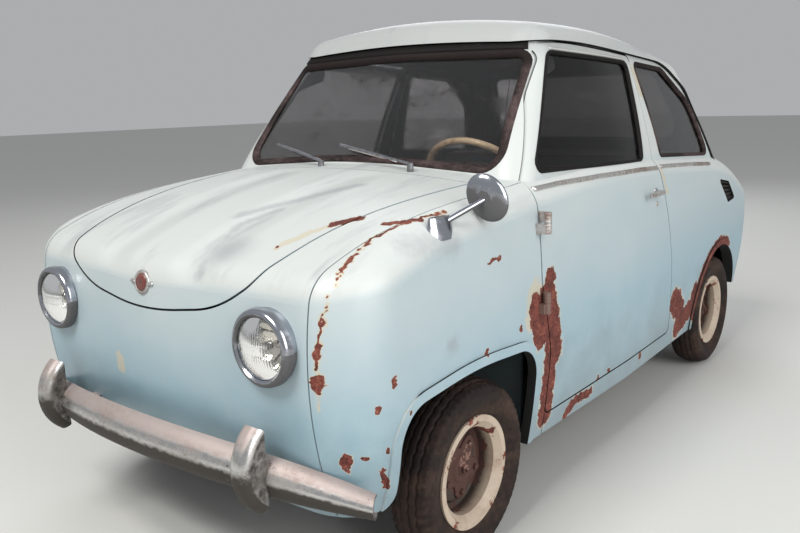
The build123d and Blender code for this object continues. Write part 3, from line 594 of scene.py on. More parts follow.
def build_weave(work: ShaderTree, given: dict[str, Socket]) -> dict[str, Value]:
    """Make a plain woven cloth's height and thread mask.

    Args:
        work: the group's tree.
        given: its inputs.

    Returns:
        Its outputs.
    """
    split = work.axes(given["Position"])
    waves = [work.math("SINE", work.times(split[axis], given["Threads"])) for axis in "XYZ"]
    across = work.times(waves[0], work.math("ADD", waves[1], waves[2]))
    fuzz = work.cloud(given["Position"], 500.0, 2.0)
    return {"Height": work.math("ADD", across, fuzz), "Mask": work.ease(across, -1.0, 1.0)}


POSITION = {"Position": "Vector"}
PLACED = {**POSITION, "Start": "Vector", "Sharpness": "Float", "Before": "Float"}
BLOB = Effect("round_mark", PLACED, {"Field": "Float"}, build_blob)
STREAK = Effect("straight_mark", {**PLACED, "Run": "Vector", "Squared": "Float", "Offset": "Float"},
                {"Field": "Float"}, build_streak)
WARP = Effect("wandering_edges", {**POSITION, "Amount": "Float"}, {"Position": "Vector"}, build_warp)
SHADE_INSIDE = Effect("inner_faces", {**POSITION, "Facing": "Vector"}, {"Mask": "Float"}, build_shade_inside)
RUST_LOOK = Effect("rust_look", {**POSITION, "Field": "Float", "Ragged": "Float"},
                   {"Mask": "Float", "Halo": "Float", "Color": "Color", "Height": "Float"}, build_rust_look)
FADE = Effect("sun_fade", {**POSITION, "Facing": "Vector"}, {"Mask": "Float", "Up": "Float"}, build_fade)
GRIME = Effect("road_grime", {**POSITION, "Amount": "Float"}, {"Mask": "Float"}, build_grime)
PITTING = Effect("pitting", {**POSITION, "Density": "Float"}, {"Mask": "Float", "Height": "Float"},
                 build_pitting)
STAIN = Effect("thin_film", {**POSITION, "Amount": "Float"}, {"Mask": "Float", "Fine": "Float"}, build_stain)
WEAVE = Effect("plain_weave", {**POSITION, "Threads": "Float"}, {"Height": "Float", "Mask": "Float"},
               build_weave)


@dataclass(frozen=True)
class Mark:
    """A mark on the bodywork: a blob, or a streak through several points, with its reach to each side."""

    reach: float
    points: tuple[Point, ...]

    def runs(self) -> list[tuple[Point, Point]]:
        """Each straight run of the mark, as its start and its end."""
        return list(zip(self.points, self.points[1:] or self.points))


def field_of(work: ShaderTree, place: Socket, marks: Iterable[Mark]) -> Value:
    """Join the fields of several marks.

    Args:
        work: the tree to add to.
        place: the position to judge.
        marks: the marks.

    Returns:
        The field: 1 in the middle of a mark, 0 at its edge, below 0 outside.
    """
    field_so_far: Value = -4.0
    for mark in marks:
        sharp = 1.0 / mark.reach
        for start, end in mark.runs():
            run = Vector(end) - Vector(start)
            if run.length < 1e-6:
                made = work.use(BLOB, Position=place, Start=start, Sharpness=sharp, Before=field_so_far)
            else:
                made = work.use(STREAK, Position=place, Start=start, Sharpness=sharp, Before=field_so_far,
                                Run=tuple(run), Squared=run.length_squared, Offset=Vector(start).dot(run))
            field_so_far = made["Field"]
    return field_so_far


FENDER_SEAM: tuple[Point, ...] = (
    (0.504, -1.318, 0.470), (0.512, -1.330, 0.579), (0.517, -1.328, 0.640), (0.523, -1.317, 0.708),
    (0.530, -1.300, 0.742), (0.531, -1.263, 0.788), (0.512, -1.157, 0.829), (0.520, -1.084, 0.846),
    (0.531, -1.047, 0.853), (0.551, -0.944, 0.863))
RUST_MARKS: tuple[Mark, ...] = (
    Mark(0.0048, FENDER_SEAM),
    Mark(0.015, ((0.374, -1.113, 0.846), (0.392, -1.090, 0.851), (0.406, -1.066, 0.855))),
    Mark(0.007, ((0.320, -1.236, 0.809),)),
    Mark(0.010, ((0.487, -1.077, 0.849), (0.515, -1.053, 0.852), (0.541, -1.024, 0.855))),
    Mark(0.017, ((0.514, -1.334, 0.572),)),
    Mark(0.010, ((0.517, -1.333, 0.628),)),
    Mark(0.016, ((0.552, -1.303, 0.404), (0.553, -1.302, 0.385))),
    Mark(0.009, ((0.580, -1.275, 0.404),)),
    Mark(0.009, ((0.609, -1.213, 0.555),)),
    Mark(0.009, ((0.598, -1.249, 0.508),)),
    Mark(0.009, ((0.608, -1.170, 0.475),)),
    Mark(0.008, ((0.598, -1.222, 0.410),)),
    Mark(0.008, ((0.588, -1.231, 0.365), (0.585, -1.220, 0.330))),
    Mark(0.010, ((0.612, -0.870, 0.527),)),
    Mark(0.010, ((0.614, -0.713, 0.542),)),
    Mark(0.005, ((0.606, -0.849, 0.738), (0.608, -0.800, 0.740))),
    Mark(0.026, ((0.614, -0.560, 0.650), (0.615, -0.600, 0.590))),
    Mark(0.036, ((0.615, -0.640, 0.585), (0.615, -0.610, 0.500))),
    Mark(0.046, ((0.615, -0.575, 0.600), (0.613, -0.545, 0.500), (0.610, -0.535, 0.430))),
    Mark(0.036, ((0.611, -0.548, 0.444), (0.606, -0.550, 0.359), (0.596, -0.550, 0.255))),
    Mark(0.017, ((0.591, -0.416, 0.212), (0.596, -0.363, 0.240), (0.597, -0.263, 0.233))),
    Mark(0.011, ((0.602, -0.140, 0.268),)),
    Mark(0.010, ((0.601, -0.217, 0.265),)),
    Mark(0.012, ((0.601, 0.120, 0.245),)),
    Mark(0.050, ((0.606, 0.420, 0.370), (0.602, 0.500, 0.315))),
    Mark(0.046, ((0.596, 0.612, 0.290), (0.595, 0.500, 0.255))),
    Mark(0.045, ((0.602, 0.660, 0.350), (0.600, 0.690, 0.270))),
    Mark(0.012, ((0.500, 0.268, 1.205), (0.512, 0.285, 1.150))),
    Mark(0.024, ((0.606, 0.690, 0.370), (0.606, 0.752, 0.440), (0.606, 0.832, 0.488), (0.609, 0.935, 0.512),
                 (0.609, 1.040, 0.495))),
)
CREAM_MARKS: tuple[Mark, ...] = (
    Mark(0.0085, FENDER_SEAM),
    Mark(0.012, ((0.320, -1.236, 0.809), (0.352, -1.160, 0.836), (0.392, -1.090, 0.851))),
    Mark(0.012, ((0.600, 0.262, 0.865), (0.604, 0.300, 0.780))),
    Mark(0.020, ((-0.128, -1.361, 0.514), (-0.128, -1.361, 0.490))),
    Mark(0.040, ((0.612, -0.640, 0.620), (0.612, -0.655, 0.560))),
    Mark(0.026, ((0.500, 0.262, 1.200), (0.516, 0.272, 1.120))),
)
# The first two marks are painted shade along the two flutes of the luggage lid.
STAIN_AND_SHADE_MARKS: tuple[Mark, ...] = (
    Mark(0.020, ((0.075, -1.127, 0.848), (0.160, -1.006, 0.876), (0.221, -0.850, 0.900))),
    Mark(0.016, ((0.184, -1.340, 0.752), (0.128, -1.174, 0.834), (0.163, -1.078, 0.860))),
    Mark(0.055, ((0.204, -1.271, 0.798),)),
    Mark(0.022, ((0.612, -1.007, 0.581),)),
    Mark(0.030, ((0.560, -1.120, 0.800), (0.590, -0.980, 0.800))),
)


# Finishes


@dataclass(frozen=True)
class Finish:
    """A surface finish. Each kind shades one Principled shader from position and facing."""

    name: str
    slot: str

    def shade(self, work: MaterialTree) -> None:
        """Wire the shader; each kind of finish does this its own way.

        Args:
            work: the material's tree.
        """
        raise NotImplementedError

    def material(self) -> bpy.types.Material:
        """Build the material on first use.

        Returns:
            The material.
        """
        known = bpy.data.materials.get(self.name)
        if known:
            return known
        made = bpy.data.materials.new(self.name)
        made.use_nodes = True
        made.node_tree.nodes.clear()
        self.shade(MaterialTree(made.node_tree))
        return made

    def dress(self, *objects: bpy.types.Object) -> None:
        """Give objects this finish as their only material.

        Args:
            objects: the pieces or CAD nodes.
        """
        for thing in objects:
            thing.data.materials.clear()
            thing.data.materials.append(self.material())


@dataclass(frozen=True)
class PanelPaint(Finish):
    """Old pale blue paint: bleached on top, stained in streaks, rusting at named places, with painted shade
    on faces that look inward, on the roof and along the lid's flutes, and a painted highlight above the
    fender crease.
    """

    fresh: Color = (0.205, 0.362, 0.448)
    bleached: Color = (0.515, 0.545, 0.538)
    primer: Color = (0.50, 0.45, 0.34)
    mud: Color = (0.120, 0.100, 0.078)
    stain_and_shade_violet: Color = (0.250, 0.265, 0.290)
    roof_dirt: Color = (0.300, 0.312, 0.312)
    # inner: near black, the painted shade on faces that look inward.
    inner: Color = (0.010, 0.009, 0.009)
    chip: Color = (0.10, 0.045, 0.03)
    rust: tuple[Mark, ...] = ()
    cream: tuple[Mark, ...] = ()
    stain_and_shade_marks: tuple[Mark, ...] = ()
    ragged: float = 0.9
    right_rust_y: float = -0.72
    right_shift: float = 0.022
    out_of_reach: float = 4.0
    roof_z: float = 1.18
    # crease_z: the fender crease's height, above which the paint is lighter as a painted highlight.
    crease_z: float = 0.715
    flute_x: float = 0.150
    flute_depth: float = 0.010

    def flutes(self, work: ShaderTree, split: bpy.types.NodeOutputs, up: Socket) -> Socket:
        """The height of the two broad channels that run along the luggage lid.

        Args:
            work: the material's tree.
            split: the position's X, Y and Z.
            up: 1 where the surface looks up.

        Returns:
            The height, zero or less.
        """
        aside = work.math("ABSOLUTE", split["X"])
        off = work.math("ABSOLUTE", work.math("SUBTRACT", aside, self.flute_x))
        channel = work.ease(off, 0.085, 0.0)
        ahead = work.ease(split["Y"], -0.69, -0.80)
        return work.times(work.times(channel, ahead), work.times(up, -1.0))

    def both_sides(self, work: ShaderTree, place: Socket) -> Socket:
        """Bring the left side's rust marks to the right side too, behind the front wheel only.

        Args:
            work: the material's tree.
            place: the position in the car's frame.

        Returns:
            The position at which the marks are looked up.
        """
        split = work.axes(place)
        right = work.math("LESS_THAN", split["X"], 0.0)
        ahead = work.times(right, work.math("LESS_THAN", split["Y"], self.right_rust_y))
        join = work.node("ShaderNodeCombineXYZ")
        work.feed(join.inputs["X"], work.math("ABSOLUTE", split["X"]))
        work.feed(join.inputs["Y"], work.math("MULTIPLY_ADD", right, self.right_shift, split["Y"]))
        work.feed(join.inputs["Z"], work.math("MULTIPLY_ADD", ahead, self.out_of_reach, split["Z"]))
        return join.outputs[0]

    def shade(self, work: MaterialTree) -> None:
        """Layer fade, streaks, grime and rust over the fresh colour, with painted shade and a painted
        highlight.

        Args:
            work: the material's tree.
        """
        split = work.axes(work.place)
        fade = work.use(FADE)
        high = work.times(work.ease(split["Z"], 0.88, 0.98), 0.45)
        # Painted highlight: the paint is paler above the fender crease, so that the flank below it reads as
        # painted shade.
        shoulder = work.times(work.ease(split["Z"], self.crease_z - 0.26, self.crease_z + 0.02), 0.30)
        streak = work.ease(work.cloud(work.place, 6.0, 4.0, (2.2, 0.35, 1.0)), 0.52, 0.72)
        mottled = work.ease(work.cloud(work.place, 14.0, 6.0), 0.35, 0.75)
        pale = work.math("ADD", fade["Mask"], work.math("ADD", high, shoulder), clamp=True)
        color = work.mix(pale, self.fresh, self.bleached)
        color = work.mix(work.times(mottled, 0.14), color, self.bleached)
        # Painted shade: the roof above roof_z is darkened.
        color = work.mix(work.times(work.ease(split["Z"], self.roof_z, self.roof_z + 0.09), 0.62), color,
                         self.roof_dirt)
        stained = work.times(work.times(streak, fade["Up"]), 0.42)
        wander = work.use(WARP, Amount=0.030)["Position"]
        # Stains, and painted shade along the lid's flutes, both darkened towards violet.
        drips_and_flute_shade = work.ease(field_of(work, wander, self.stain_and_shade_marks), -0.6, 0.9)
        color = work.mix(work.math("MAXIMUM", stained, work.times(drips_and_flute_shade, 0.5)), color, self.stain_and_shade_violet)
        grime = work.use(GRIME, Amount=0.42)["Mask"]
        color = work.mix(grime, color, self.mud)
        pocked = work.math("ADD", field_of(work, wander, self.cream), work.cloud(work.place, 60.0, 4.0))
        flaked = work.ease(pocked, 0.45, 0.75)
        color = work.mix(work.times(flaked, 0.8), color, self.primer)
        rusty = field_of(work, self.both_sides(work, wander), self.rust)
        rust = work.use(RUST_LOOK, Field=rusty, Ragged=self.ragged)
        chips = work.use(PITTING, Density=-0.165)
        color = work.mix(work.times(rust["Halo"], 0.75), color, self.primer)
        color = work.mix(work.times(chips["Mask"], 0.8), color, self.chip)
        color = work.mix(rust["Mask"], color, rust["Color"])
        # Painted shade: faces that look inward and the inner walls of the wheel arches turn near black and
        # lose their coat.
        inside = work.use(SHADE_INSIDE)["Mask"]
        work.set("Base Color", work.mix(inside, color, self.inner))
        gloss = work.math("ADD", 0.36, work.times(fade["Mask"], 0.10))
        gloss = work.math("ADD", gloss, work.times(mottled, 0.08))
        rust_and_painted_shade = work.math("MAXIMUM", rust["Mask"], inside)
        work.set("Roughness", work.lerp(rust_and_painted_shade, gloss, 0.92))
        work.set("Coat Roughness", 0.25)
        work.set("Coat Weight", work.lerp(rust_and_painted_shade, 0.20, 0.0))
        work.bump(self.flutes(work, split, fade["Up"]), 1.0, self.flute_depth)
        peel = work.times(work.cloud(work.place, 420.0, 2.0), 0.12)
        dents = work.times(work.cloud(work.place, 9.0, 2.0), 0.55)
        work.bump(work.math("ADD", peel, dents), 0.35, 0.0012)
        work.bump(work.cloud(work.place, 140.0, 4.0), work.times(rust["Mask"], 0.9), 0.0016)


@dataclass(frozen=True)
class PlainPaint(Finish):
    """Matt paint on pressed parts that are seldom cleaned: dust on top, dirt low down."""

    color: Color = (0.22, 0.30, 0.32)
    dust: Color = (0.28, 0.25, 0.21)
    rust: Color = (0.13, 0.055, 0.030)
    pit: Color = (0.07, 0.03, 0.02)
    dusty: float = 0.6
    rough: float = 0.6
    rusty: float = -0.10

    def shade(self, work: MaterialTree) -> None:
        """Lay dust and pits over the colour.

        Args:
            work: the material's tree.
        """
        fade = work.use(FADE)
        film = work.use(STAIN, Amount=self.rusty)
        pits = work.use(PITTING, Density=-0.05)
        color = work.mix(work.times(fade["Up"], self.dusty), self.color, self.dust)
        color = work.mix(work.times(film["Mask"], 0.7), color, self.rust)
        color = work.mix(pits["Mask"], color, self.pit)
        work.set("Base Color", color)
        work.set("Roughness", work.lerp(film["Mask"], self.rough, 0.9))
        work.bump(work.math("ADD", film["Fine"], pits["Height"]), 0.3, 0.001)


@dataclass(frozen=True)
class PittedChrome(Finish):
    """Chrome that has gone dull, with a brown film and pits, and painted shade on the faces that look down.
    """

    film: float = 0.0
    pits: float = -0.06
    metal: Color = (0.62, 0.61, 0.60)
    brown: Color = (0.150, 0.105, 0.080)
    shade_below: Color = (0.040, 0.034, 0.027)
    pink: Color = (0.35, 0.275, 0.255)
    pit: Color = (0.09, 0.04, 0.025)
    rough: float = 0.16
    # under: how much painted shade darkens the faces that look down.
    under: float = 0.0
    over: float = 0.0
    low: float = 0.0
    low_z: float = 0.69

    def shade(self, work: MaterialTree) -> None:
        """Break the mirror with film and pits, and paint shade on the faces that look down.

        Args:
            work: the material's tree.
        """
        film = work.use(STAIN, Amount=self.film)
        pits = work.use(PITTING, Density=self.pits)
        tilt = work.axes(work.facing)
        uneven = work.math("MULTIPLY_ADD", work.math("SUBTRACT", film["Fine"], 0.5), 0.32, tilt["Z"])
        # Painted shade: faces that look down turn dark and lose their shine.
        below = work.times(work.ease(uneven, 0.16, -0.06), self.under)
        above = work.times(work.ease(uneven, 0.34, 0.60), self.over)
        split = work.axes(work.place)
        eaten = work.times(work.ease(split["Z"], self.low_z, self.low_z - 0.04), self.low)
        browned = work.math("MAXIMUM", film["Mask"], eaten)
        color = work.mix(browned, self.metal, self.brown)
        color = work.mix(above, color, self.pink)
        color = work.mix(below, color, self.shade_below)
        color = work.mix(pits["Mask"], color, self.pit)
        work.set("Base Color", color)
        dull = work.math("MAXIMUM", work.math("MAXIMUM", browned, pits["Mask"]),
                         work.math("MAXIMUM", below, above))
        work.set("Metallic", work.lerp(dull, 1.0, 0.35))
        haze = work.math("ADD", self.rough, work.times(film["Fine"], 0.14))
        work.set("Roughness", work.lerp(dull, haze, 0.68))
        work.bump(work.math("ADD", pits["Height"], work.times(film["Fine"], 0.4)), 0.25, 0.0008)


@dataclass(frozen=True)
class Rubber(Finish):
    """Perished rubber with dust in its cracks."""

    color: Color = (0.030, 0.026, 0.024)
    dust: Color = (0.150, 0.105, 0.080)
    film: float = 0.0
    shade_above_z: float = 9.0

    def shade(self, work: MaterialTree) -> None:
        """Lay a broken dust film over dark rubber, and leave it off above a height as painted shade under the
        roof's brim.

        Args:
            work: the material's tree.
        """
        film = work.use(STAIN, Amount=self.film)
        cracks = work.ease(work.cloud(work.place, 190.0, 5.0, (1.0, 1.0, 0.35)), 0.50, 0.62)
        split = work.axes(work.place)
        below_painted_shade = work.ease(split["Z"], self.shade_above_z, self.shade_above_z - 0.05)
        lying = work.times(work.times(film["Mask"], 0.85), below_painted_shade)
        color = work.mix(lying, self.color, self.dust)
        color = work.mix(work.times(cracks, 0.35), color, self.color)
        work.set("Base Color", color)
        work.set("Roughness", work.lerp(film["Mask"], 0.62, 0.92))
        work.set("Specular IOR Level", 0.15)
        work.bump(work.math("SUBTRACT", film["Fine"], cracks), 0.4, 0.0009)


@dataclass(frozen=True)
class WheelPaint(Finish):
    """Cream wheel paint, half gone to rust, with painted shade in the deep parts and in the vents between the
    hub's lobes.
    """

    cream: Color = (0.60, 0.52, 0.40)
    grease: Color = (0.026, 0.016, 0.013)
    deep_rust_and_shade: Color = (0.075, 0.034, 0.027)
    dirt: Color = (0.27, 0.155, 0.115)
    vent_shade: Color = (0.006, 0.005, 0.005)
    rusty: float = 0.02
    lip_x: float = 0.591
    face_x: float = 0.543

    def shade(self, work: MaterialTree) -> None:
        """Let rust eat the cream from patches, and paint shade in the deep parts and the vents.

        Args:
            work: the material's tree.
        """
        apart, height = axle_offsets(work, work.place)
        radius = work.radius_of(apart, height)
        split = work.axes(work.place)
        depth = work.math("ABSOLUTE", split["X"])
        deep = work.math("MAXIMUM", work.ease(radius, 0.103, 0.095),
                         work.ease(depth, self.lip_x - 0.020, self.lip_x - 0.052))
        bias = work.math("MULTIPLY_ADD", deep, 0.12, self.rusty - 0.5)
        patch = work.times(work.math("ADD", work.cloud(work.place, 11.0, 5.0), bias), 3.0)
        rust = work.use(RUST_LOOK, Field=patch, Ragged=0.9)
        film = work.use(STAIN, Amount=-0.02)
        color = work.mix(work.times(film["Mask"], 0.60), self.cream, self.dirt)
        # Painted shade: the deep parts of the wheel turn near black, and their rust darker.
        color = work.mix(work.times(deep, 0.96), color, self.grease)
        color = work.mix(rust["Mask"], color, work.mix(deep, rust["Color"], self.deep_rust_and_shade))
        # Painted shade where the vents between the hub's lobes open into the wheel.
        vent_shade_mask = work.times(work.ease(depth, self.face_x - 0.003, self.face_x - 0.006),
                            work.ease(radius, 0.090, 0.084))
        color = work.mix(vent_shade_mask, color, self.vent_shade)
        work.set("Base Color", color)
        work.set("Roughness", work.lerp(rust["Mask"], 0.55, 0.95))
        work.bump(rust["Height"], 0.5, 0.0012)


@dataclass(frozen=True)
class DustyGlass(Finish):
    """Old window glass under a thin film of dust, with its own tint for the part that faces forward."""

    tint: Color = (0.80, 0.86, 0.85)
    front_tint: Color = (0.80, 0.86, 0.85)
    dust: Color = (0.42, 0.40, 0.37)
    film: float = -0.10
    front_from: float = -1.20
    ior: float = 1.45

    def shade(self, work: MaterialTree) -> None:
        """Haze the glass where dust lies.

        Args:
            work: the material's tree.
        """
        film = work.use(STAIN, Amount=self.film)
        split = work.axes(work.place)
        slope = work.math("MULTIPLY_ADD", split["Z"], -0.75, split["Y"])
        # Forward-facing glass takes front_tint; the rest takes tint, which is dark as painted shade in the
        # car's windows.
        tint = work.mix(work.ease(slope, self.front_from, self.front_from - 0.06), self.tint, self.front_tint)
        work.set("Base Color", work.mix(film["Mask"], tint, self.dust))
        work.set("Roughness", work.lerp(film["Mask"], 0.03, 0.30))
        work.set("Transmission Weight", 1.0)
        work.set("IOR", self.ior)


@dataclass(frozen=True)
class LampGlass(DustyGlass):
    """Clear moulded lamp glass."""

    tint: Color = (0.90, 0.88, 0.85)
    front_tint: Color = (0.90, 0.88, 0.85)
    dust: Color = (0.40, 0.36, 0.32)
    film: float = -0.12


@dataclass(frozen=True)
class ColoredLens(Finish):
    """A moulded coloured lamp lens with fine ribs."""

    color: Color = (0.42, 0.012, 0.010)
    dust: Color = (0.30, 0.16, 0.12)
    rib_turns: float = 900.0

    def shade(self, work: MaterialTree) -> None:
        """Rib the lens and dust it lightly.

        Args:
            work: the material's tree.
        """
        film = work.use(STAIN, Amount=-0.06)
        work.set("Base Color", work.mix(work.times(film["Mask"], 0.5), self.color, self.dust))
        work.set("Roughness", work.lerp(film["Mask"], 0.12, 0.5))
        split = work.axes(work.place)
        ribs = work.math("SINE", work.times(split["Z"], self.rib_turns))
        work.bump(ribs, 0.4, 0.0010)


@dataclass(frozen=True)
class Mirror(Finish):
    """Silvered glass or a polished reflector, slightly tarnished."""

    silver: Color = (0.86, 0.86, 0.84)
    tarnish: Color = (0.42, 0.38, 0.30)

    def shade(self, work: MaterialTree) -> None:
        """Tarnish the silver in a thin film.

        Args:
            work: the material's tree.
        """
        film = work.use(STAIN, Amount=-0.08)
        work.set("Base Color", work.mix(film["Mask"], self.silver, self.tarnish))
        work.set("Roughness", work.lerp(film["Mask"], 0.07, 0.30))
        work.set("Metallic", 1.0)


@dataclass(frozen=True)
class Cloth(Finish):
    """Worn woven seat cloth, faded on top."""

    color: Color = (0.115, 0.070, 0.050)
    faded: Color = (0.25, 0.19, 0.15)
    between: Color = (0.05, 0.03, 0.022)
    threads: float = 2600.0

    def shade(self, work: MaterialTree) -> None:
        """Weave the cloth and fade it where the light falls.

        Args:
            work: the material's tree.
        """
        weave = work.use(WEAVE, Threads=self.threads)
        fade = work.use(FADE)
        color = work.mix(work.times(fade["Mask"], 0.6), self.color, self.faded)
        color = work.mix(work.times(weave["Mask"], 0.35), color, self.between)
        work.set("Base Color", color)
        work.set("Roughness", work.lerp(weave["Mask"], 0.82, 0.95))
        work.set("Sheen Weight", 0.25)
        work.bump(weave["Height"], 0.45, 0.0006)


@dataclass(frozen=True)
class AgedPlastic(Finish):
    """Aged cream plastic, darker where hands have held it."""

    color: Color = (0.56, 0.42, 0.24)
    handled: Color = (0.24, 0.14, 0.07)
    crack: Color = (0.10, 0.06, 0.03)

    def shade(self, work: MaterialTree) -> None:
        """Craze the plastic and darken it in patches.

        Args:
            work: the material's tree.
        """
        film = work.use(STAIN, Amount=0.02)
        craze = work.ease(work.cloud(work.place, 230.0, 6.0), 0.56, 0.62)
        color = work.mix(film["Mask"], self.color, self.handled)
        color = work.mix(work.times(craze, 0.5), color, self.crack)
        work.set("Base Color", color)
        work.set("Roughness", work.lerp(film["Mask"], 0.28, 0.55))
        work.bump(craze, 0.3, -0.0005)


PAINT = PanelPaint("faded_blue_paint", "body_paint", rust=RUST_MARKS, cream=CREAM_MARKS, stain_and_shade_marks=STAIN_AND_SHADE_MARKS)
INNER = PlainPaint("dusty_inner_paint", "inner_paint", color=(0.060, 0.082, 0.088), dust=(0.10, 0.09, 0.08))
UNDERSEAL = PlainPaint("flaking_underseal", "chassis", color=(0.030, 0.026, 0.023), dust=(0.12, 0.10, 0.085),
                       rough=0.8, rusty=0.02)
LOUVRE = PlainPaint("black_louvre_paint", "chassis", color=(0.012, 0.012, 0.012), dust=(0.06, 0.055, 0.05),
                    rusty=-0.16)
IRON = PlainPaint("greasy_iron", "iron", color=(0.075, 0.062, 0.054), rough=0.55, rusty=0.04)
ENAMEL = PlainPaint("faded_red_enamel", "red_lens", color=(0.15, 0.040, 0.034), dusty=0.2, rough=0.3,
                    rusty=-0.16)
# The bumper's lower half is dark as painted shade.
BUMPER_CHROME = PittedChrome("stained_bumper_chrome", "chrome", film=-0.02, pits=-0.07, under=0.98, over=0.78)
# The metal is darkened and tinted blue as a painted reflection, with painted shade on the faces that look
# down.
BRIGHT_CHROME = PittedChrome("pitted_chrome", "chrome", film=-0.10, pits=-0.10, metal=(0.44, 0.46, 0.51),
                             rough=0.10, under=0.8)
RUSTY_CHROME = PittedChrome("rusty_trim_chrome", "chrome", film=0.06, pits=0.01, rough=0.30)
HINGE_CHROME = PittedChrome("rusty_hinge_chrome", "chrome", film=0.04, pits=0.00, rough=0.34, low=0.9,
                            brown=(0.170, 0.088, 0.065))
TYRE = Rubber("dusty_tyre_rubber", "tyre", color=(0.018, 0.013, 0.012), dust=(0.085, 0.052, 0.040), film=0.02)
# The seal stays dark above z 1.215 as painted shade under the roof's brim.
SEAL = Rubber("perished_window_seal", "seal", color=(0.016, 0.011, 0.011), dust=(0.128, 0.090, 0.088),
              film=0.02, shade_above_z=1.215)
BLACK_SEAL = Rubber("black_seal_rubber", "seal", color=(0.008, 0.007, 0.007), dust=(0.06, 0.05, 0.045),
                    film=-0.14)
WHEEL = WheelPaint("rusty_cream_wheel", "wheel_paint", cream=(0.50, 0.41, 0.32), rusty=-0.09)
HUB = WheelPaint("rusty_hub", "wheel_paint", grease=(0.20, 0.105, 0.085), rusty=-0.02, face_x=0.40)
# The fixed glass is tinted dark as painted shade of the cabin, save the windscreen, which faces forward and
# stays nearly clear.
GLASS = DustyGlass("dusty_glass", "glass", tint=(0.26, 0.25, 0.25), front_tint=(0.97, 0.96, 0.97),
                   dust=(0.50, 0.46, 0.46), film=-0.04)
# The door glass is tinted dark as painted shade of the cabin.
SIDE_GLASS = DustyGlass("shade_darkened_door_glass", "glass", tint=(0.24, 0.23, 0.23), front_tint=(0.24, 0.23, 0.23),
                        dust=(0.18, 0.17, 0.16), ior=1.24)
FRAME_ALLOY = PlainPaint("dull_window_frame", "chrome", color=(0.46, 0.47, 0.46), dust=(0.42, 0.40, 0.36),
                         rough=0.4, rusty=-0.14)
LAMP = LampGlass("fluted_lamp_glass", "lamp_glass")
RED = ColoredLens("red_lens", "red_lens")
SILVER = Mirror("tarnished_silver", "chrome")
CLOTH = Cloth("worn_seat_cloth", "cloth", color=(0.075, 0.046, 0.034), faded=(0.15, 0.11, 0.085))
PIPING = Cloth("seat_piping", "cloth", color=(0.20, 0.15, 0.11), faded=(0.30, 0.25, 0.20))
PLASTIC = AgedPlastic("aged_cream_plastic", "wheel_plastic", color=(0.66, 0.50, 0.31))


# Mesh making


def place_mesh(name: str, points: Sequence[Vector], faces: Sequence[Sequence[int]], finish: Finish,
               body: str, smooth: bool = True) -> bpy.types.Object:
    """Make a mesh object, give it its finish and let it ride on a body.

    Args:
        name: the piece's name.
        points: its corners, in the car's frame.
        faces: its faces, as corner numbers.
        finish: what it is finished in.
        body: the CAD body that it moves with.
        smooth: shade it smooth.

    Returns:
        The new object.
    """
    mesh = bpy.data.meshes.new(name)
    mesh.from_pydata([tuple(p) for p in points], [], [tuple(f) for f in faces])
    mesh.validate()
    mesh.polygons.foreach_set("use_smooth", [smooth] * len(mesh.polygons))
    made = bpy.data.objects.new(name, mesh)
    bpy.context.scene.collection.objects.link(made)
    finish.dress(made)
    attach(made, body)
    log.info("%s: %d faces on %s", name, len(mesh.polygons), body)
    return made


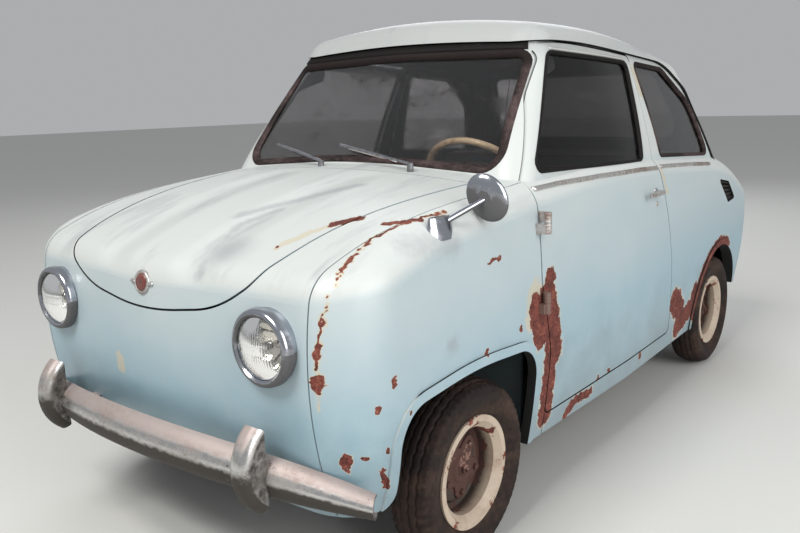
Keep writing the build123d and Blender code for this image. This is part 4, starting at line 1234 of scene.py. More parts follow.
@dataclass
class MeshParts:
    """Corners and faces gathered from several forms, to become one mesh."""

    points: list[Vector] = field(default_factory=list)
    faces: list[tuple[int, ...]] = field(default_factory=list)

    def add(self, points: Iterable[Vector], faces: Iterable[Sequence[int]]) -> None:
        """Add one form's corners and faces.

        Args:
            points: its corners.
            faces: its faces, counted from its own first corner.
        """
        start = len(self.points)
        self.points.extend(points)
        self.faces.extend(tuple(start + i for i in f) for f in faces)

    def loft(self, rings: Sequence[Sequence[Vector]], closed: bool = False) -> None:
        """Skin a row of rings, each with the same number of points. An open row's ends are closed by a face.

        Args:
            rings: the rings in order.
            closed: join the last ring to the first.
        """
        count = len(rings[0])
        faces: list[tuple[int, ...]] = []
        spans = len(rings) if closed else len(rings) - 1
        for i in range(spans):
            a, b = i * count, ((i + 1) % len(rings)) * count
            for j in range(count):
                k = (j + 1) % count
                faces.append((a + j, a + k, b + k, b + j))
        if not closed:
            faces.append(tuple(range(count))[::-1])
            faces.append(tuple((len(rings) - 1) * count + j for j in range(count)))
        self.add([p for ring in rings for p in ring], faces)

    def revolve(self, profile: Sequence[tuple[float, float]], origin: Vector, axis: Vector,
                steps: int = 48, wave: Callable[[float, float, float], float] | None = None,
                lift: Callable[[Vector], float] | None = None) -> None:
        """Turn a closed profile round an axis; the turn starts from straight up where the axis is level.

        Args:
            profile: points of (distance along the axis, radius), closed from last to first.
            origin: the axis's zero.
            axis: its direction.
            steps: segments round it.
            wave: an added radius from (turn, distance, radius).
            lift: an added distance along the axis from the point, measured from the origin.
        """
        way = axis.normalized()
        side = UPWARDS if abs(way.z) < 1e-6 else way.orthogonal().normalized()
        other = way.cross(side)
        rings = []
        for i in range(steps):
            turn = 2 * math.pi * i / steps
            out = side * math.cos(turn) + other * math.sin(turn)
            ring = [way * h + out * (r + (wave(turn, h, r) if wave else 0.0)) for h, r in profile]
            rings.append([origin + p + way * (lift(p) if lift else 0.0) for p in ring])
        self.loft(rings, closed=True)

    def tube(self, path: Sequence[Vector], radius: float | Sequence[float], sides: int = 10,
             closed: bool = False, flat: float = 1.0) -> None:
        """A round or oval bar along a path.

        Args:
            path: its middle line.
            radius: one radius, or one for each point.
            sides: corners of its section.
            closed: join its ends.
            flat: how much thinner it is the second way.
        """
        radii = [radius] * len(path) if isinstance(radius, (int, float)) else list(radius)
        rings = []
        side: Vector | None = None
        for i, (here, r) in enumerate(zip(path, radii)):
            ahead = path[(i + 1) % len(path)] if closed or i + 1 < len(path) else here
            behind = path[i - 1] if closed or i else here
            way = (ahead - behind).normalized()
            side = way.orthogonal() if side is None else side - way * side.dot(way)
            side.normalize()
            other = way.cross(side)
            rings.append([here + side * (r * math.cos(a)) + other * (r * flat * math.sin(a))
                          for a in (2 * math.pi * k / sides for k in range(sides))])
        self.loft(rings, closed=closed)

    def piece(self, name: str, finish: Finish, body: str, smooth: bool = True) -> bpy.types.Object:
        """Turn what has been gathered into a riding piece.

        Args:
            name: the piece's name.
            finish: its finish.
            body: the body that it rides on.
            smooth: shade it smooth.

        Returns:
            The new object.
        """
        return place_mesh(name, self.points, self.faces, finish, body, smooth)


def soften(thing: bpy.types.Object, width: float, angle: float = 35.0) -> None:
    """Round a piece's sharp edges.

    Args:
        thing: the piece.
        width: bevel width in metres.
        angle: edges sharper than this many degrees are rounded.
    """
    bevel = thing.modifiers.new("rounded", "BEVEL")
    bevel.width = width
    bevel.segments = 2
    bevel.limit_method = "ANGLE"
    bevel.angle_limit = math.radians(angle)
    bevel.harden_normals = True


def rounded(corners: Sequence[Point], step: float = 0.012) -> list[Vector]:
    """Sample a closed outline of straight runs and corner arcs.

    Args:
        corners: (u, v, radius) of each corner in order.
        step: the distance between samples.

    Returns:
        Points (u, v) along it.
    """
    points: list[Vector] = []
    count = len(corners)
    for i, (u, v, radius) in enumerate(corners):
        here = Vector((u, v))
        back = Vector(corners[i - 1][:2]) - here
        ahead = Vector(corners[(i + 1) % count][:2]) - here
        half = back.angle(ahead) / 2
        reach = min(radius / math.tan(half), back.length * 0.49, ahead.length * 0.49)
        real = reach * math.tan(half)
        start, end = here + back.normalized() * reach, here + ahead.normalized() * reach
        if real < 1e-5:
            arc = [here]
        else:
            middle = here + (back.normalized() + ahead.normalized()).normalized() * (real / math.sin(half))
            pieces = max(2, int((math.pi - 2 * half) * real / step) + 1)
            first, last = start - middle, end - middle
            turn = first.angle_signed(last)
            arc = [middle + Matrix.Rotation(-turn * k / pieces, 2) @ first for k in range(pieces + 1)]
        if points:
            run = arc[0] - points[-1]
            steps = int(run.length / step)
            tail = points[-1]
            points.extend(tail + run * (k / (steps + 1)) for k in range(1, steps + 1))
        points.extend(arc)
    run = points[0] - points[-1]
    steps = int(run.length / step)
    tail = points[-1]
    points.extend(tail + run * (k / (steps + 1)) for k in range(1, steps + 1))
    return points


def grown(outline: Sequence[Vector], amount: float) -> list[Vector]:
    """Move a closed outline outwards, away from its middle.

    Args:
        outline: points (u, v) in order.
        amount: how far each point moves.

    Returns:
        The moved points.
    """
    middle = sum(outline, Vector((0, 0))) / len(outline)
    moved = []
    for i, here in enumerate(outline):
        way = (outline[(i + 1) % len(outline)] - outline[i - 1]).normalized()
        out = Vector((way.y, -way.x))
        moved.append(here + out * (amount if out.dot(here - middle) > 0 else -amount))
    return moved


class Skin:
    """The surface of some CAD nodes, to lay trim on."""

    def __init__(self, *nodes: str) -> None:
        """Gather the nodes' faces.

        Args:
            nodes: CAD node names.
        """
        points: list[Vector] = []
        faces: list[tuple[int, ...]] = []
        for name in nodes:
            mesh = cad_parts[name].data
            start = len(points)
            points.extend(v.co.copy() for v in mesh.vertices)
            faces.extend(tuple(start + i for i in p.vertices) for p in mesh.polygons)
        self.tree = BVHTree.FromPolygons(points, faces)

    def hit(self, start: Vector, aim: Vector) -> tuple[Vector, Vector] | None:
        """Where a ray first meets the surface.

        Args:
            start: the ray's start.
            aim: its direction.

        Returns:
            The point and the face's outward normal, or nothing.
        """
        place, normal, _, _ = self.tree.ray_cast(start, aim)
        if place is None:
            return None
        if normal.dot(aim) > 0:
            normal = -normal
        return place, normal

    def lay(self, path: Iterable[Vector], aim: Vector) -> list[tuple[Vector, Vector]]:
        """Drop a path on the surface.

        Args:
            path: points outside it.
            aim: the way they fall.

        Returns:
            Each landed point with its smoothed outward normal.
        """
        landed = [found for found in (self.hit(p, aim) for p in path) if found]
        count = len(landed)
        smooth = []
        for i, (place, _) in enumerate(landed):
            total = Vector()
            for k in range(-3, 4):
                total += landed[min(max(i + k, 0), count - 1)][1]
            smooth.append((place, total.normalized()))
        return smooth


def strip_on(name: str, landed: Sequence[tuple[Vector, Vector]], profile: Sequence[tuple[float, float]],
             finish: Finish, body: str, closed: bool, centre: Vector | None = None) -> None:
    """Sweep a section along points on a surface.

    Args:
        name: the piece's name.
        landed: points with outward normals.
        profile: (across, out) corners of the section; across points away from centre.
        finish: its finish.
        body: the body that it rides on.
        closed: join its ends.
        centre: what the across direction leads away from, or nothing for upwards.
    """
    parts = MeshParts()
    rings = []
    count = len(landed)
    for i, (here, normal) in enumerate(landed):
        ahead = landed[(i + 1) % count][0] if closed or i + 1 < count else here
        behind = landed[i - 1][0] if closed or i else here
        way = (ahead - behind).normalized()
        across = way.cross(normal).normalized()
        away = here - centre if centre is not None else UPWARDS
        if across.dot(away) < 0:
            across = -across
        rings.append([here + across * a + normal * o for a, o in profile])
    parts.loft(rings, closed=closed)
    parts.piece(name, finish, body)


# Sub-assemblies


@dataclass
class Bodywork:
    """The painted shell: CAD panels with their paint."""

    panels: tuple[str, ...] = ("fender_left", "fender_right", "nose_panel", "hood_lid", "scuttle_and_pillars",
                               "roof_panel", "quarter_left", "quarter_right", "tail_panel", "engine_lid",
                               "door_left", "door_right")

    def dress(self) -> None:
        """Paint every panel."""
        for name in self.panels:
            PAINT.dress(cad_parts[name])
        log.info("painted %d panels", len(self.panels))


@dataclass
class HiddenMetal:
    """The CAD nodes that keep their shape and only need a finish."""

    finishes: dict[str, Finish] = field(default_factory=lambda: {
        "floor_pan": UNDERSEAL, "bulkheads": INNER, "parcel_shelf": CLOTH, "dashboard": INNER,
        "steering_column": UNDERSEAL, "steering_wheel": PLASTIC, "headlamp_rims": BRIGHT_CHROME,
        "front_bumper": BUMPER_CHROME, "rear_bumper": BUMPER_CHROME, "tail_lamps": RED,
        "engine_block": IRON, "front_axle": UNDERSEAL, "knuckle_left": IRON, "knuckle_right": IRON,
        "rear_axle": UNDERSEAL, "exhaust": IRON, "lid_seals": BLACK_SEAL, "fixed_glass": GLASS,
        "door_glass_left": SIDE_GLASS, "door_glass_right": SIDE_GLASS, "door_fittings_left": HINGE_CHROME,
        "door_fittings_right": HINGE_CHROME, "hinge_posts": HINGE_CHROME, "fender_mirror": BRIGHT_CHROME,
        "wipers": BRIGHT_CHROME, "side_intakes": LOUVRE,
    })

    def dress(self) -> None:
        """Give each node its finish, and the rims theirs."""
        for name, finish in self.finishes.items():
            finish.dress(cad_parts[name])
        for end in End:
            for hand in Hand:
                WHEEL.dress(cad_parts[f"rim_{end.word}_{hand.word}"])
        log.info("finished %d carried-over nodes", len(self.finishes) + 4)


@dataclass
class Tyre:
    """One cross-ply tyre with a worn ribbed tread."""

    end: End
    hand: Hand
    radius: float = AXLE_Z
    bead_r: float = 0.1283
    wall_r: float = 0.1445
    half_w: float = 0.058
    shoulder: float = 0.010
    crown: float = 0.012
    seat: float = 0.0405
    groove: float = 0.0055
    groove_half: float = 0.0032
    grooves: tuple[float, ...] = (-0.030, -0.0105, 0.0105, 0.030)
    swing: float = 0.0022
    swings: int = 45
    blocks: int = 60
    stagger: float = 1.2
    notch_from: float = 0.036
    tread_depth: float = 0.0125
    side_depth: float = 0.030
    # radius and half width
    side_rings: Pairs = ((0.168, 0.003), (0.152, 0.002))
    side_ring_h: float = 0.0008
    steps: int = 180

    def profile(self) -> list[tuple[float, float]]:
        """Draw the section from the inner bead round the tread to the outer bead.

        Returns:
            Its (across, radius) corners.
        """
        wall = []
        for k in range(15):
            turn = k / 14
            share = math.sin(math.pi * min(1.0, turn * 1.35) / 2)
            wide = self.seat + 0.001 + (self.half_w - self.seat - 0.001) * share
            wide -= self.shoulder * max(0.0, turn - 0.74) / 0.26
            wall.append((wide, self.wall_r + (self.radius - self.crown - self.wall_r) * turn))
        crown = []
        half = self.half_w - self.shoulder
        for k in range(1, 40):
            across = half - (2 * half) * k / 40
            crown.append((across, self.radius - self.crown * (across / half) ** 2))
        other = [(-a, r) for a, r in reversed(wall)]
        foot = [(self.seat, self.bead_r), (self.seat, 0.140)]
        return foot + wall + crown + other + [(-a, r) for a, r in reversed(foot)]

    def tread(self, turn: float, across: float, radius: float) -> float:
        """How much the surface is lowered at a place on the tyre.

        Args:
            turn: angle round the wheel.
            across: distance from the wheel's middle.
            radius: radius of the plain form.

        Returns:
            The added radius, zero or less.
        """
        depth = 0.0
        notched = math.sin(turn * self.blocks + (self.stagger if across > 0 else 0.0)) > 0.72
        if radius > self.radius - self.tread_depth:
            swing = self.swing * math.sin(turn * self.swings)
            for line in self.grooves:
                near = abs(across - line - swing)
                depth = max(depth, 1.0 - near / self.groove_half)
            if abs(across) > self.notch_from and notched:
                depth = max(depth, 0.9)
        elif radius > self.radius - self.side_depth:
            depth = 0.35 if notched else 0.0
        ringed = any(abs(radius - middle) < half for middle, half in self.side_rings)
        return (self.side_ring_h if ringed else 0.0) - self.groove * min(1.0, max(0.0, depth))

    def build(self) -> None:
        """Make the tyre in place of the plain one."""
        parts = MeshParts()
        middle = Vector((WHEEL_X * self.hand.value, self.end.value, AXLE_Z))
        parts.revolve(self.profile(), middle, LEFTWARDS, self.steps, self.tread)
        word = f"{self.end.word}_{self.hand.word}"
        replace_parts(parts.piece(f"treaded_tyre_{word}", TYRE, f"wheel_{word}"), f"tyre_{word}")


@dataclass
class Window:
    """One window's rubber seal along the opening, on a side or an end of the car."""

    name: str
    node: str
    body: str
    outline: tuple[Point, ...]
    side: Hand | End
    finish: Finish = SEAL
    inner: float = 0.012
    outer: float = 0.007
    probe: float = 0.004

    def path(self) -> list[Vector]:
        """Set the outline outside the car.

        Returns:
            Its points.
        """
        return [self.side.beyond(p.x, p.y) for p in grown(rounded(self.outline), self.probe)]

    def build(self) -> None:
        """Lay the seal."""
        landed = Skin(self.node).lay(self.path(), self.side.inward)
        centre = sum((p for p, _ in landed), Vector()) / len(landed)
        lip = [(self.outer, -0.001), (self.outer - 0.001, 0.002), (0.002, 0.0042), (-0.004, 0.0030),
               (-self.inner, -0.0045), (-self.inner, -0.0085), (0.0, -0.0085), (0.002, -0.001)]
        seated = [(across - self.probe, out) for across, out in lip]
        strip_on(self.name, landed, seated, self.finish, self.body, True, centre)


def mirrored(half: Sequence[Point]) -> tuple[Point, ...]:
    """Complete a front-view outline given by its right-hand half.

    Args:
        half: (x, z, radius) corners; one at x = 0 isn't doubled.

    Returns:
        The whole outline.
    """
    return tuple(half) + tuple((-x, z, r) for x, z, r in reversed(half) if x)


@dataclass
class Glazing:
    """The rubber round every window."""

    windscreen: tuple[Point, ...] = mirrored(
        ((0.0, 1.243, 3.0), (0.442, 1.233, 0.040), (0.486, 0.920, 0.050), (0.0, 0.952, 3.0)))
    rear: tuple[Point, ...] = mirrored(((0.368, 1.205, 0.060), (0.440, 0.925, 0.070)))
    door: tuple[Point, ...] = (
        (-0.545, 0.915, 0.020), (0.150, 0.899, 0.018), (0.214, 1.215, 0.025), (-0.306, 1.236, 0.044))
    quarter: tuple[Point, ...] = (
        (0.318, 0.900, 0.018), (0.274, 1.216, 0.025), (0.545, 1.200, 0.070), (0.748, 1.078, 0.160),
        (0.838, 0.872, 0.025))

    def build(self) -> None:
        """Lay all the seals."""
        Window("windscreen_seal", "scuttle_and_pillars", "body", self.windscreen, End.FRONT, inner=0.016,
               outer=0.010).build()
        Window("rear_window_seal", "roof_panel", "body", self.rear, End.REAR).build()
        for hand in Hand:
            door = f"door_{hand.word}"
            Window(f"door_window_seal_{hand.word}", door, door, self.door, hand, finish=BLACK_SEAL,
                   inner=0.008, outer=0.004).build()
            Window(f"quarter_window_seal_{hand.word}", f"quarter_{hand.word}", "body", self.quarter, hand,
                   inner=0.010, outer=0.005).build()


@dataclass
class DoorFrame:
    """One door's bright frame on the window's top and rear edge, with the dark gutter rubber above it, which
    also stands in as painted shadow under the roof's brim.
    """

    hand: Hand
    outline: tuple[Point, ...] = Glazing.door
    aside: float = 0.0085
    front_y: float = -0.300
    rear_y: float = 0.1
    low_z: float = 0.925
    top_z: float = 1.19
    strip_section: Pairs = ((-0.0042, -0.001), (-0.0036, 0.0026), (0.0, 0.0036), (0.0036, 0.0026),
                            (0.0042, -0.001))
    gutter_from: float = -0.335
    gutter_step: float = 0.0078
    gutter_points: int = 70
    gutter_drop: float = 0.0080
    gutter_section: Pairs = ((-0.0062, -0.001), (-0.0055, 0.0022), (0.0055, 0.0030), (0.0062, -0.001))

    def bright(self) -> None:
        """Lay the thin frame just outside the window's seal."""
        flat = [p for p in grown(rounded(self.outline), self.aside)
                if p.y > self.top_z or (p.x > self.rear_y and p.y > self.low_z)]
        path = [self.hand.beyond(p.x, p.y) for p in flat if p.x > self.front_y]
        door = f"door_{self.hand.word}"
        landed = Skin(door).lay(path, self.hand.inward)
        middle = Vector((0.55 * self.hand.value, -0.12, 1.06))
        strip_on(f"window_frame_strip_{self.hand.word}", landed, self.strip_section, FRAME_ALLOY, door, False,
                 middle)

    def rubber(self) -> None:
        """Lay the gutter rubber, black as painted shadow of the roof's brim, under the door's upper edge,
        which is felt for upwards in small steps.
        """
        door = f"door_{self.hand.word}"
        skin = Skin(door)
        aim = self.hand.inward
        path = []
        rise = 0.001
        for k in range(self.gutter_points):
            y = self.gutter_from + self.gutter_step * k
            top = 1.20
            first = skin.hit(self.hand.beyond(y, top), aim)
            while first:
                after = skin.hit(self.hand.beyond(y, top + rise), aim)
                if not after or abs(after[0].x - first[0].x) > 4 * rise:
                    break
                first, top = after, top + rise
            if first:
                path.append(self.hand.beyond(y, top - self.gutter_drop))
        landed = skin.lay(path, aim)
        strip_on(f"gutter_rubber_{self.hand.word}", landed, self.gutter_section, BLACK_SEAL, door, False)

    def build(self) -> None:
        """Fit both."""
        self.bright()
        self.rubber()


@dataclass
class HeaderRubberAndShade:
    """The dark rubber band between the windscreen and the roof's brim, which also stands in as painted shade
    under the brim.
    """

    half: float = 0.430
    low_z: float = 1.240
    rise: float = 0.008
    height: float = 0.026
    steps: int = 60

    def build(self) -> None:
        """Lay the band on the header."""
        path = []
        for k in range(self.steps + 1):
            x = self.half * (2 * k / self.steps - 1)
            path.append(End.FRONT.beyond(x, self.low_z + self.rise * (1 - (x / self.half) ** 2) + 0.004))
        landed = Skin("scuttle_and_pillars").lay(path, End.FRONT.inward)
        profile = [(-0.006, -0.001), (-0.004, 0.0045), (0.004, 0.0050), (self.height, 0.0030),
                   (self.height + 0.002, -0.001)]
        strip_on("windscreen_header_band", landed, profile, BLACK_SEAL, "body", False)


@dataclass
class Headlamps:
    """Both headlamps inside their bezels: silvered bowls with bulbs, and domed lenses with moulded flutes."""

    x: float = 0.393
    z: float = 0.631
    face_y: float = -1.376
    lens_r: float = 0.0656
    dome: float = 0.016
    glass_t: float = 0.004
    flute_pitch: float = 0.0062
    flute_h: float = 0.0011
    bowl_d: float = 0.050
    bulb_section: Pairs = ((0.052, 0.0), (0.052, 0.006), (0.044, 0.0095), (0.036, 0.0092), (0.030, 0.006),
                           (0.028, 0.0))
    shield_section: Pairs = ((0.026, 0.0), (0.026, 0.006), (0.029, 0.0098), (0.033, 0.0104),
                             (0.033, 0.0098), (0.030, 0.0092), (0.0275, 0.006), (0.0275, 0.0))

    def centres(self) -> list[Vector]:
        """The middle of each lamp's face."""
        return [Vector((self.x * hand.value, self.face_y, self.z)) for hand in Hand]

    def flute(self, point: Vector) -> float:
        """The moulded ribs on the back of the lens, shallow in a band across the middle.

        Args:
            point: a point of the plain lens, from its middle.

        Returns:
            How far the point moves along the lamp's axis.
        """
        if point.y < 0.004 and point.length > self.lens_r * 1.1:
            return 0.0
        fade = max(0.0, 1.0 - (math.hypot(point.x, point.z) / (self.lens_r * 0.93)) ** 8)
        band = 0.35 if abs(point.z) < 0.011 else 1.0
        return -self.flute_h * fade * band * abs(math.cos(math.pi * point.x / self.flute_pitch))

    def lenses(self) -> None:
        """Make both lenses in place of the plain ones."""
        parts = MeshParts()
        turns = [k / 30 for k in range(31)]
        front = [(self.dome * (t * t - 1) + 0.006, self.lens_r * t) for t in turns]
        back = [(h + self.glass_t, r) for h, r in front]
        for centre in self.centres():
            parts.revolve(front + back[::-1], centre, BACKWARDS, 120, lift=self.flute)
        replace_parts(parts.piece("fluted_headlamp_lenses", LAMP, "body"), "headlamp_lenses")

    def bowls(self) -> None:
        """Make the silvered bowls and their bulbs."""
        bowls, bulbs, shields = MeshParts(), MeshParts(), MeshParts()
        rows = [k / 20 for k in range(21)]
        inner = [(0.013 + self.bowl_d * (1 - t * t), 0.006 + (self.lens_r - 0.0062) * t) for t in rows]
        outer = [(h + 0.0014, r + 0.0004) for h, r in inner]
        for centre in self.centres():
            bowls.revolve(inner + outer[::-1], centre, BACKWARDS, 72)
            bulbs.revolve(self.bulb_section, centre, BACKWARDS, 24)
            shields.revolve(self.shield_section, centre, BACKWARDS, 24)
        bowls.piece("headlamp_reflectors", SILVER, "body")
        bulbs.piece("headlamp_bulbs", LAMP, "body")
        shields.piece("headlamp_bulb_shields", BRIGHT_CHROME, "body")

    def build(self) -> None:
        """Fill both bezels."""
        self.lenses()
        self.bowls()


@dataclass
class NoseBadge:
    """A blank round badge with a short wing at each side, on the luggage lid."""

    x: float = -0.003
    z: float = 0.719
    disc_r: float = 0.027
    wing: float = 0.046
    wing_r: float = 0.0068
    wing_taper: float = 0.0004
    wing_rise: float = 0.0015

    def build(self) -> None:
        """Set the badge square on the lid."""
        found = Skin("hood_lid").hit(End.FRONT.beyond(self.x, self.z), End.FRONT.inward)
        if not found:
            return
        place, normal = found
        metal, enamel = MeshParts(), MeshParts()
        r = self.disc_r
        frame_section = ((-0.004, 0.0), (-0.004, r), (0.002, r + 0.001), (0.0045, r - 0.002),
                         (0.0045, r - 0.005), (0.003, r - 0.006), (0.003, 0.0))
        metal.revolve(frame_section, place, normal, 48)
        reaches = [r - 0.004 + (self.wing - r) * k / 8 for k in range(9)]
        for side in (-1, 1):
            path = [place + normal * self.wing_rise + LEFTWARDS * side * reach for reach in reaches]
            metal.tube(path, [self.wing_r - self.wing_taper * k for k in range(9)], 10, flat=0.55)
        enamel_section = ((0.002, 0.0), (0.002, r - 0.0062), (0.0036, r - 0.0065), (0.0050, r * 0.45),
                          (0.0056, 0.0))
        enamel.revolve(enamel_section, place, normal, 40)
        metal.piece("nose_badge_frame", RUSTY_CHROME, "hood_lid")
        enamel.piece("nose_badge_enamel", ENAMEL, "hood_lid")


@dataclass
class WheelCentre:
    """One wheel's lobed hub plate with its nuts and the axle nut."""

    end: End
    hand: Hand
    face: float = -0.002
    lobe: float = 0.017
    lobes_from: float = 0.040
    plate_r: float = 0.067
    nut_ring: float = 0.063
    plate_section: Pairs = ((0.011, 0.0125), (0.0112, 0.029), (0.010, 0.034), (0.0065, 0.0365),
                            (0.0060, 0.044), (0.0060, 0.052), (0.0056, 0.060), (0.0040, 0.066),
                            (-0.0005, 0.067), (-0.0005, 0.0125))
    washer_section: Pairs = ((0.004, 0.0), (0.004, 0.0175), (0.0125, 0.0175), (0.0135, 0.0165),
                             (0.0135, 0.0))
    axle_nut_section: Pairs = ((0.013, 0.0), (0.013, 0.0125), (0.021, 0.0125), (0.0225, 0.0105),
                               (0.0225, 0.0))
    stub_section: Pairs = ((0.020, 0.0), (0.020, 0.0062), (0.0275, 0.0058), (0.0285, 0.0045), (0.0285, 0.0))
    nut_section: Pairs = ((0.004, 0.0), (0.004, 0.0086), (0.0125, 0.0086), (0.0140, 0.0068), (0.0140, 0.0))

    def lobes(self, turn: float, _height: float, radius: float) -> float:
        """The added radius at a turn and a plain radius, so that the plate reaches out between the vents."""
        share = max(0.0, radius - self.lobes_from) / (self.plate_r - self.lobes_from)
        return -self.lobe * math.cos(5 * turn) * share

    def build(self) -> None:
        """Make the plate and the nuts."""
        side = float(self.hand.value)
        out = Vector((side, 0, 0))
        centre = Vector((WHEEL_X * side, self.end.value, AXLE_Z)) + out * self.face
        plate, nuts = MeshParts(), MeshParts()
        plate.revolve(self.plate_section, centre, out, 120, self.lobes)
        nuts.revolve(self.washer_section, centre, out, 30)
        nuts.revolve(self.axle_nut_section, centre, out, 6)
        nuts.revolve(self.stub_section, centre, out, 16)
        for k in range(5):
            turn = math.radians(36 + 72 * k)
            place = centre + Vector((0, -side * math.sin(turn), math.cos(turn))) * self.nut_ring
            nuts.revolve(self.nut_section, place, out, 6)
        word = f"{self.end.word}_{self.hand.word}"
        plate.piece(f"hub_plate_{word}", HUB, f"wheel_{word}")
        soften(nuts.piece(f"hub_nuts_{word}", HUB, f"wheel_{word}", smooth=False), 0.0006)


@dataclass
class DoorTrim:
    """One side's belt strips and hinge rings, with the handle's plate and the lock as (y, z, radius)."""

    hand: Hand
    # (y, z) along each strip
    belt: Pairs = ((-0.588, 0.878), (-0.449, 0.881), (-0.214, 0.879), (0.081, 0.873), (0.228, 0.867))
    rear_belt: Pairs = ((0.262, 0.869), (0.450, 0.860), (0.640, 0.849), (0.800, 0.838))
    belt_section: Pairs = ((-0.0072, -0.001), (-0.0070, 0.0020), (-0.0035, 0.0048), (0.0, 0.0056),
                           (0.0035, 0.0048), (0.0070, 0.0020), (0.0072, -0.001))
    hinge: tuple[float, float] = (0.630, -0.607)
    hinge_heights: tuple[float, ...] = (0.797, 0.590)
    ring_r: float = 0.0102
    ring_pitch: float = 0.0085
    plates: tuple[Point, ...] = ((0.195, 0.790, 0.0155), (0.197, 0.752, 0.0085))

    def path(self, points: Pairs, step: float = 0.012) -> list[Vector]:
        """Points beside the car along a line.

        Args:
            points: its (y, z) corners.
            step: the distance between points.

        Returns:
            The points.
        """
        spread = []
        for (y0, z0), (y1, z1) in zip(points, points[1:]):
            count = max(1, int(math.hypot(y1 - y0, z1 - z0) / step))
            spread += [self.hand.beyond(y0 + (y1 - y0) * k / count, z0 + (z1 - z0) * k / count)
                       for k in range(count)]
        return spread + [self.hand.beyond(*points[-1])]

    def strip(self, name: str, points: Pairs, node: str, body: str) -> None:
        """Lay one length of belt strip.

        Args:
            name: the piece's name.
            points: its (y, z) line.
            node: the panel that it lies on.
            body: the body that it rides on.
        """
        landed = Skin(node).lay(self.path(points), self.hand.inward)
        strip_on(name, landed, self.belt_section, RUSTY_CHROME, body, False)

    def rings(self) -> None:
        """Ring the hinge barrels: the door's above, the post's below."""
        x, y = self.hinge
        section = ((-0.0018, 0.0085), (-0.0014, self.ring_r - 0.0003), (0.0, self.ring_r),
                   (0.0014, self.ring_r - 0.0003), (0.0018, 0.0085))
        for word, body, sign in (("door", f"door_{self.hand.word}", 1), ("post", "body", -1)):
            parts = MeshParts()
            for z in self.hinge_heights:
                for k in range(3):
                    place = Vector((x * self.hand.value, y, z + sign * (0.0055 + self.ring_pitch * k)))
                    parts.revolve(section, place, UPWARDS, 28)
            parts.piece(f"hinge_rings_{word}_{self.hand.word}", HINGE_CHROME, body)

    def lock(self) -> None:
        """Set the handle's plate and the lock below it on the door."""
        skin = Skin(f"door_{self.hand.word}")
        parts = MeshParts()
        for y, z, r in self.plates:
            found = skin.hit(self.hand.beyond(y, z), self.hand.inward)
            if found:
                section = ((-0.003, 0.0), (-0.003, r), (0.0012, r), (0.0030, r - 0.002), (0.0034, r * 0.55),
                           (0.0020, r * 0.5), (0.0020, 0.0))
                parts.revolve(section, *found, 32)
        parts.piece(f"handle_plate_and_lock_{self.hand.word}", RUSTY_CHROME, f"door_{self.hand.word}")

    def build(self) -> None:
        """Fit all of it."""
        word = self.hand.word
        self.strip(f"belt_strip_door_{word}", self.belt, f"door_{word}", f"door_{word}")
        self.strip(f"belt_strip_quarter_{word}", self.rear_belt, f"quarter_{word}", "body")
        self.rings()
        self.lock()


def signed_power(value: float, exponent: float) -> float:
    """Raise a number's size to a power and keep its sign."""
    return math.copysign(abs(value) ** exponent, value)


@dataclass
class Pad:
    """One crowned cushion: its middle, half sizes, lean about X, sewn channels and the way they look."""

    name: str
    middle: Point
    half: Point
    lean: float
    channels: int
    sewn: Sewn
    node: str
    crown: float = 0.12
    pleat: float = 0.0075
    square: float = 0.34
    piping_r: float = 0.0042
    piping_v: float = 0.62
    fill: float = 0.6
    around: int = 88
    rows: int = 46

    def form(self, u: float, v: float) -> Vector:
        """A point of the pillow form, in unit sizes.

        Args:
            u: the angle round it.
            v: the angle up it.

        Returns:
            The point.
        """
        girth = signed_power(math.cos(v), self.square)
        x = girth * signed_power(math.cos(u), self.square)
        y = girth * signed_power(math.sin(u), self.square)
        return Vector((x, y, signed_power(math.sin(v), self.square)))

    def place(self, unit: Vector) -> Vector:
        """Swell, pleat, lean and set one point of the form.

        Args:
            unit: the point in unit sizes.

        Returns:
            Its place in the car.
        """
        x, y, z = unit
        swell = (1 - x * x) * (1 - y * y)
        pull = 1 - 0.035 * (1 - abs(z)) * (1 - min(1.0, abs(x * y)))
        across = x * self.half[0] * pull
        along = y * self.half[1] * pull
        up = z * self.half[2] * (1 - self.crown + self.crown * swell)
        if z > 0 and self.channels:
            phase = abs(math.cos(math.pi * (x + 1) / 2 * self.channels))
            up -= self.pleat * (phase ** 10) * min(1.0, swell * 6)
        point = Vector((across, along, up))
        if self.sewn is Sewn.FORWARD:
            point = Vector((across, -up, along))
        turned = Matrix.Rotation(-self.lean, 3, "X") @ point
        return turned + Vector(self.middle)

    def build(self) -> None:
        """Make the pad and its piping in place of the plain cushion."""
        parts, piping = MeshParts(), MeshParts()
        rings = []
        turns = [2 * math.pi * k / self.around for k in range(self.around)]
        for row in range(1, self.rows):
            v = math.pi * (row / self.rows - 0.5)
            rings.append([self.place(self.form(u, v)) for u in turns])
        parts.loft(rings)
        pad = parts.piece(self.name, CLOTH, "body")
        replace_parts(pad, self.node)
        line = [self.place(self.form(2 * math.pi * k / 180, self.piping_v) * 1.012) for k in range(180)]
        piping.tube(line, self.piping_r, 8, closed=True)
        piping.piece(f"{self.name}_piping", PIPING, "body")


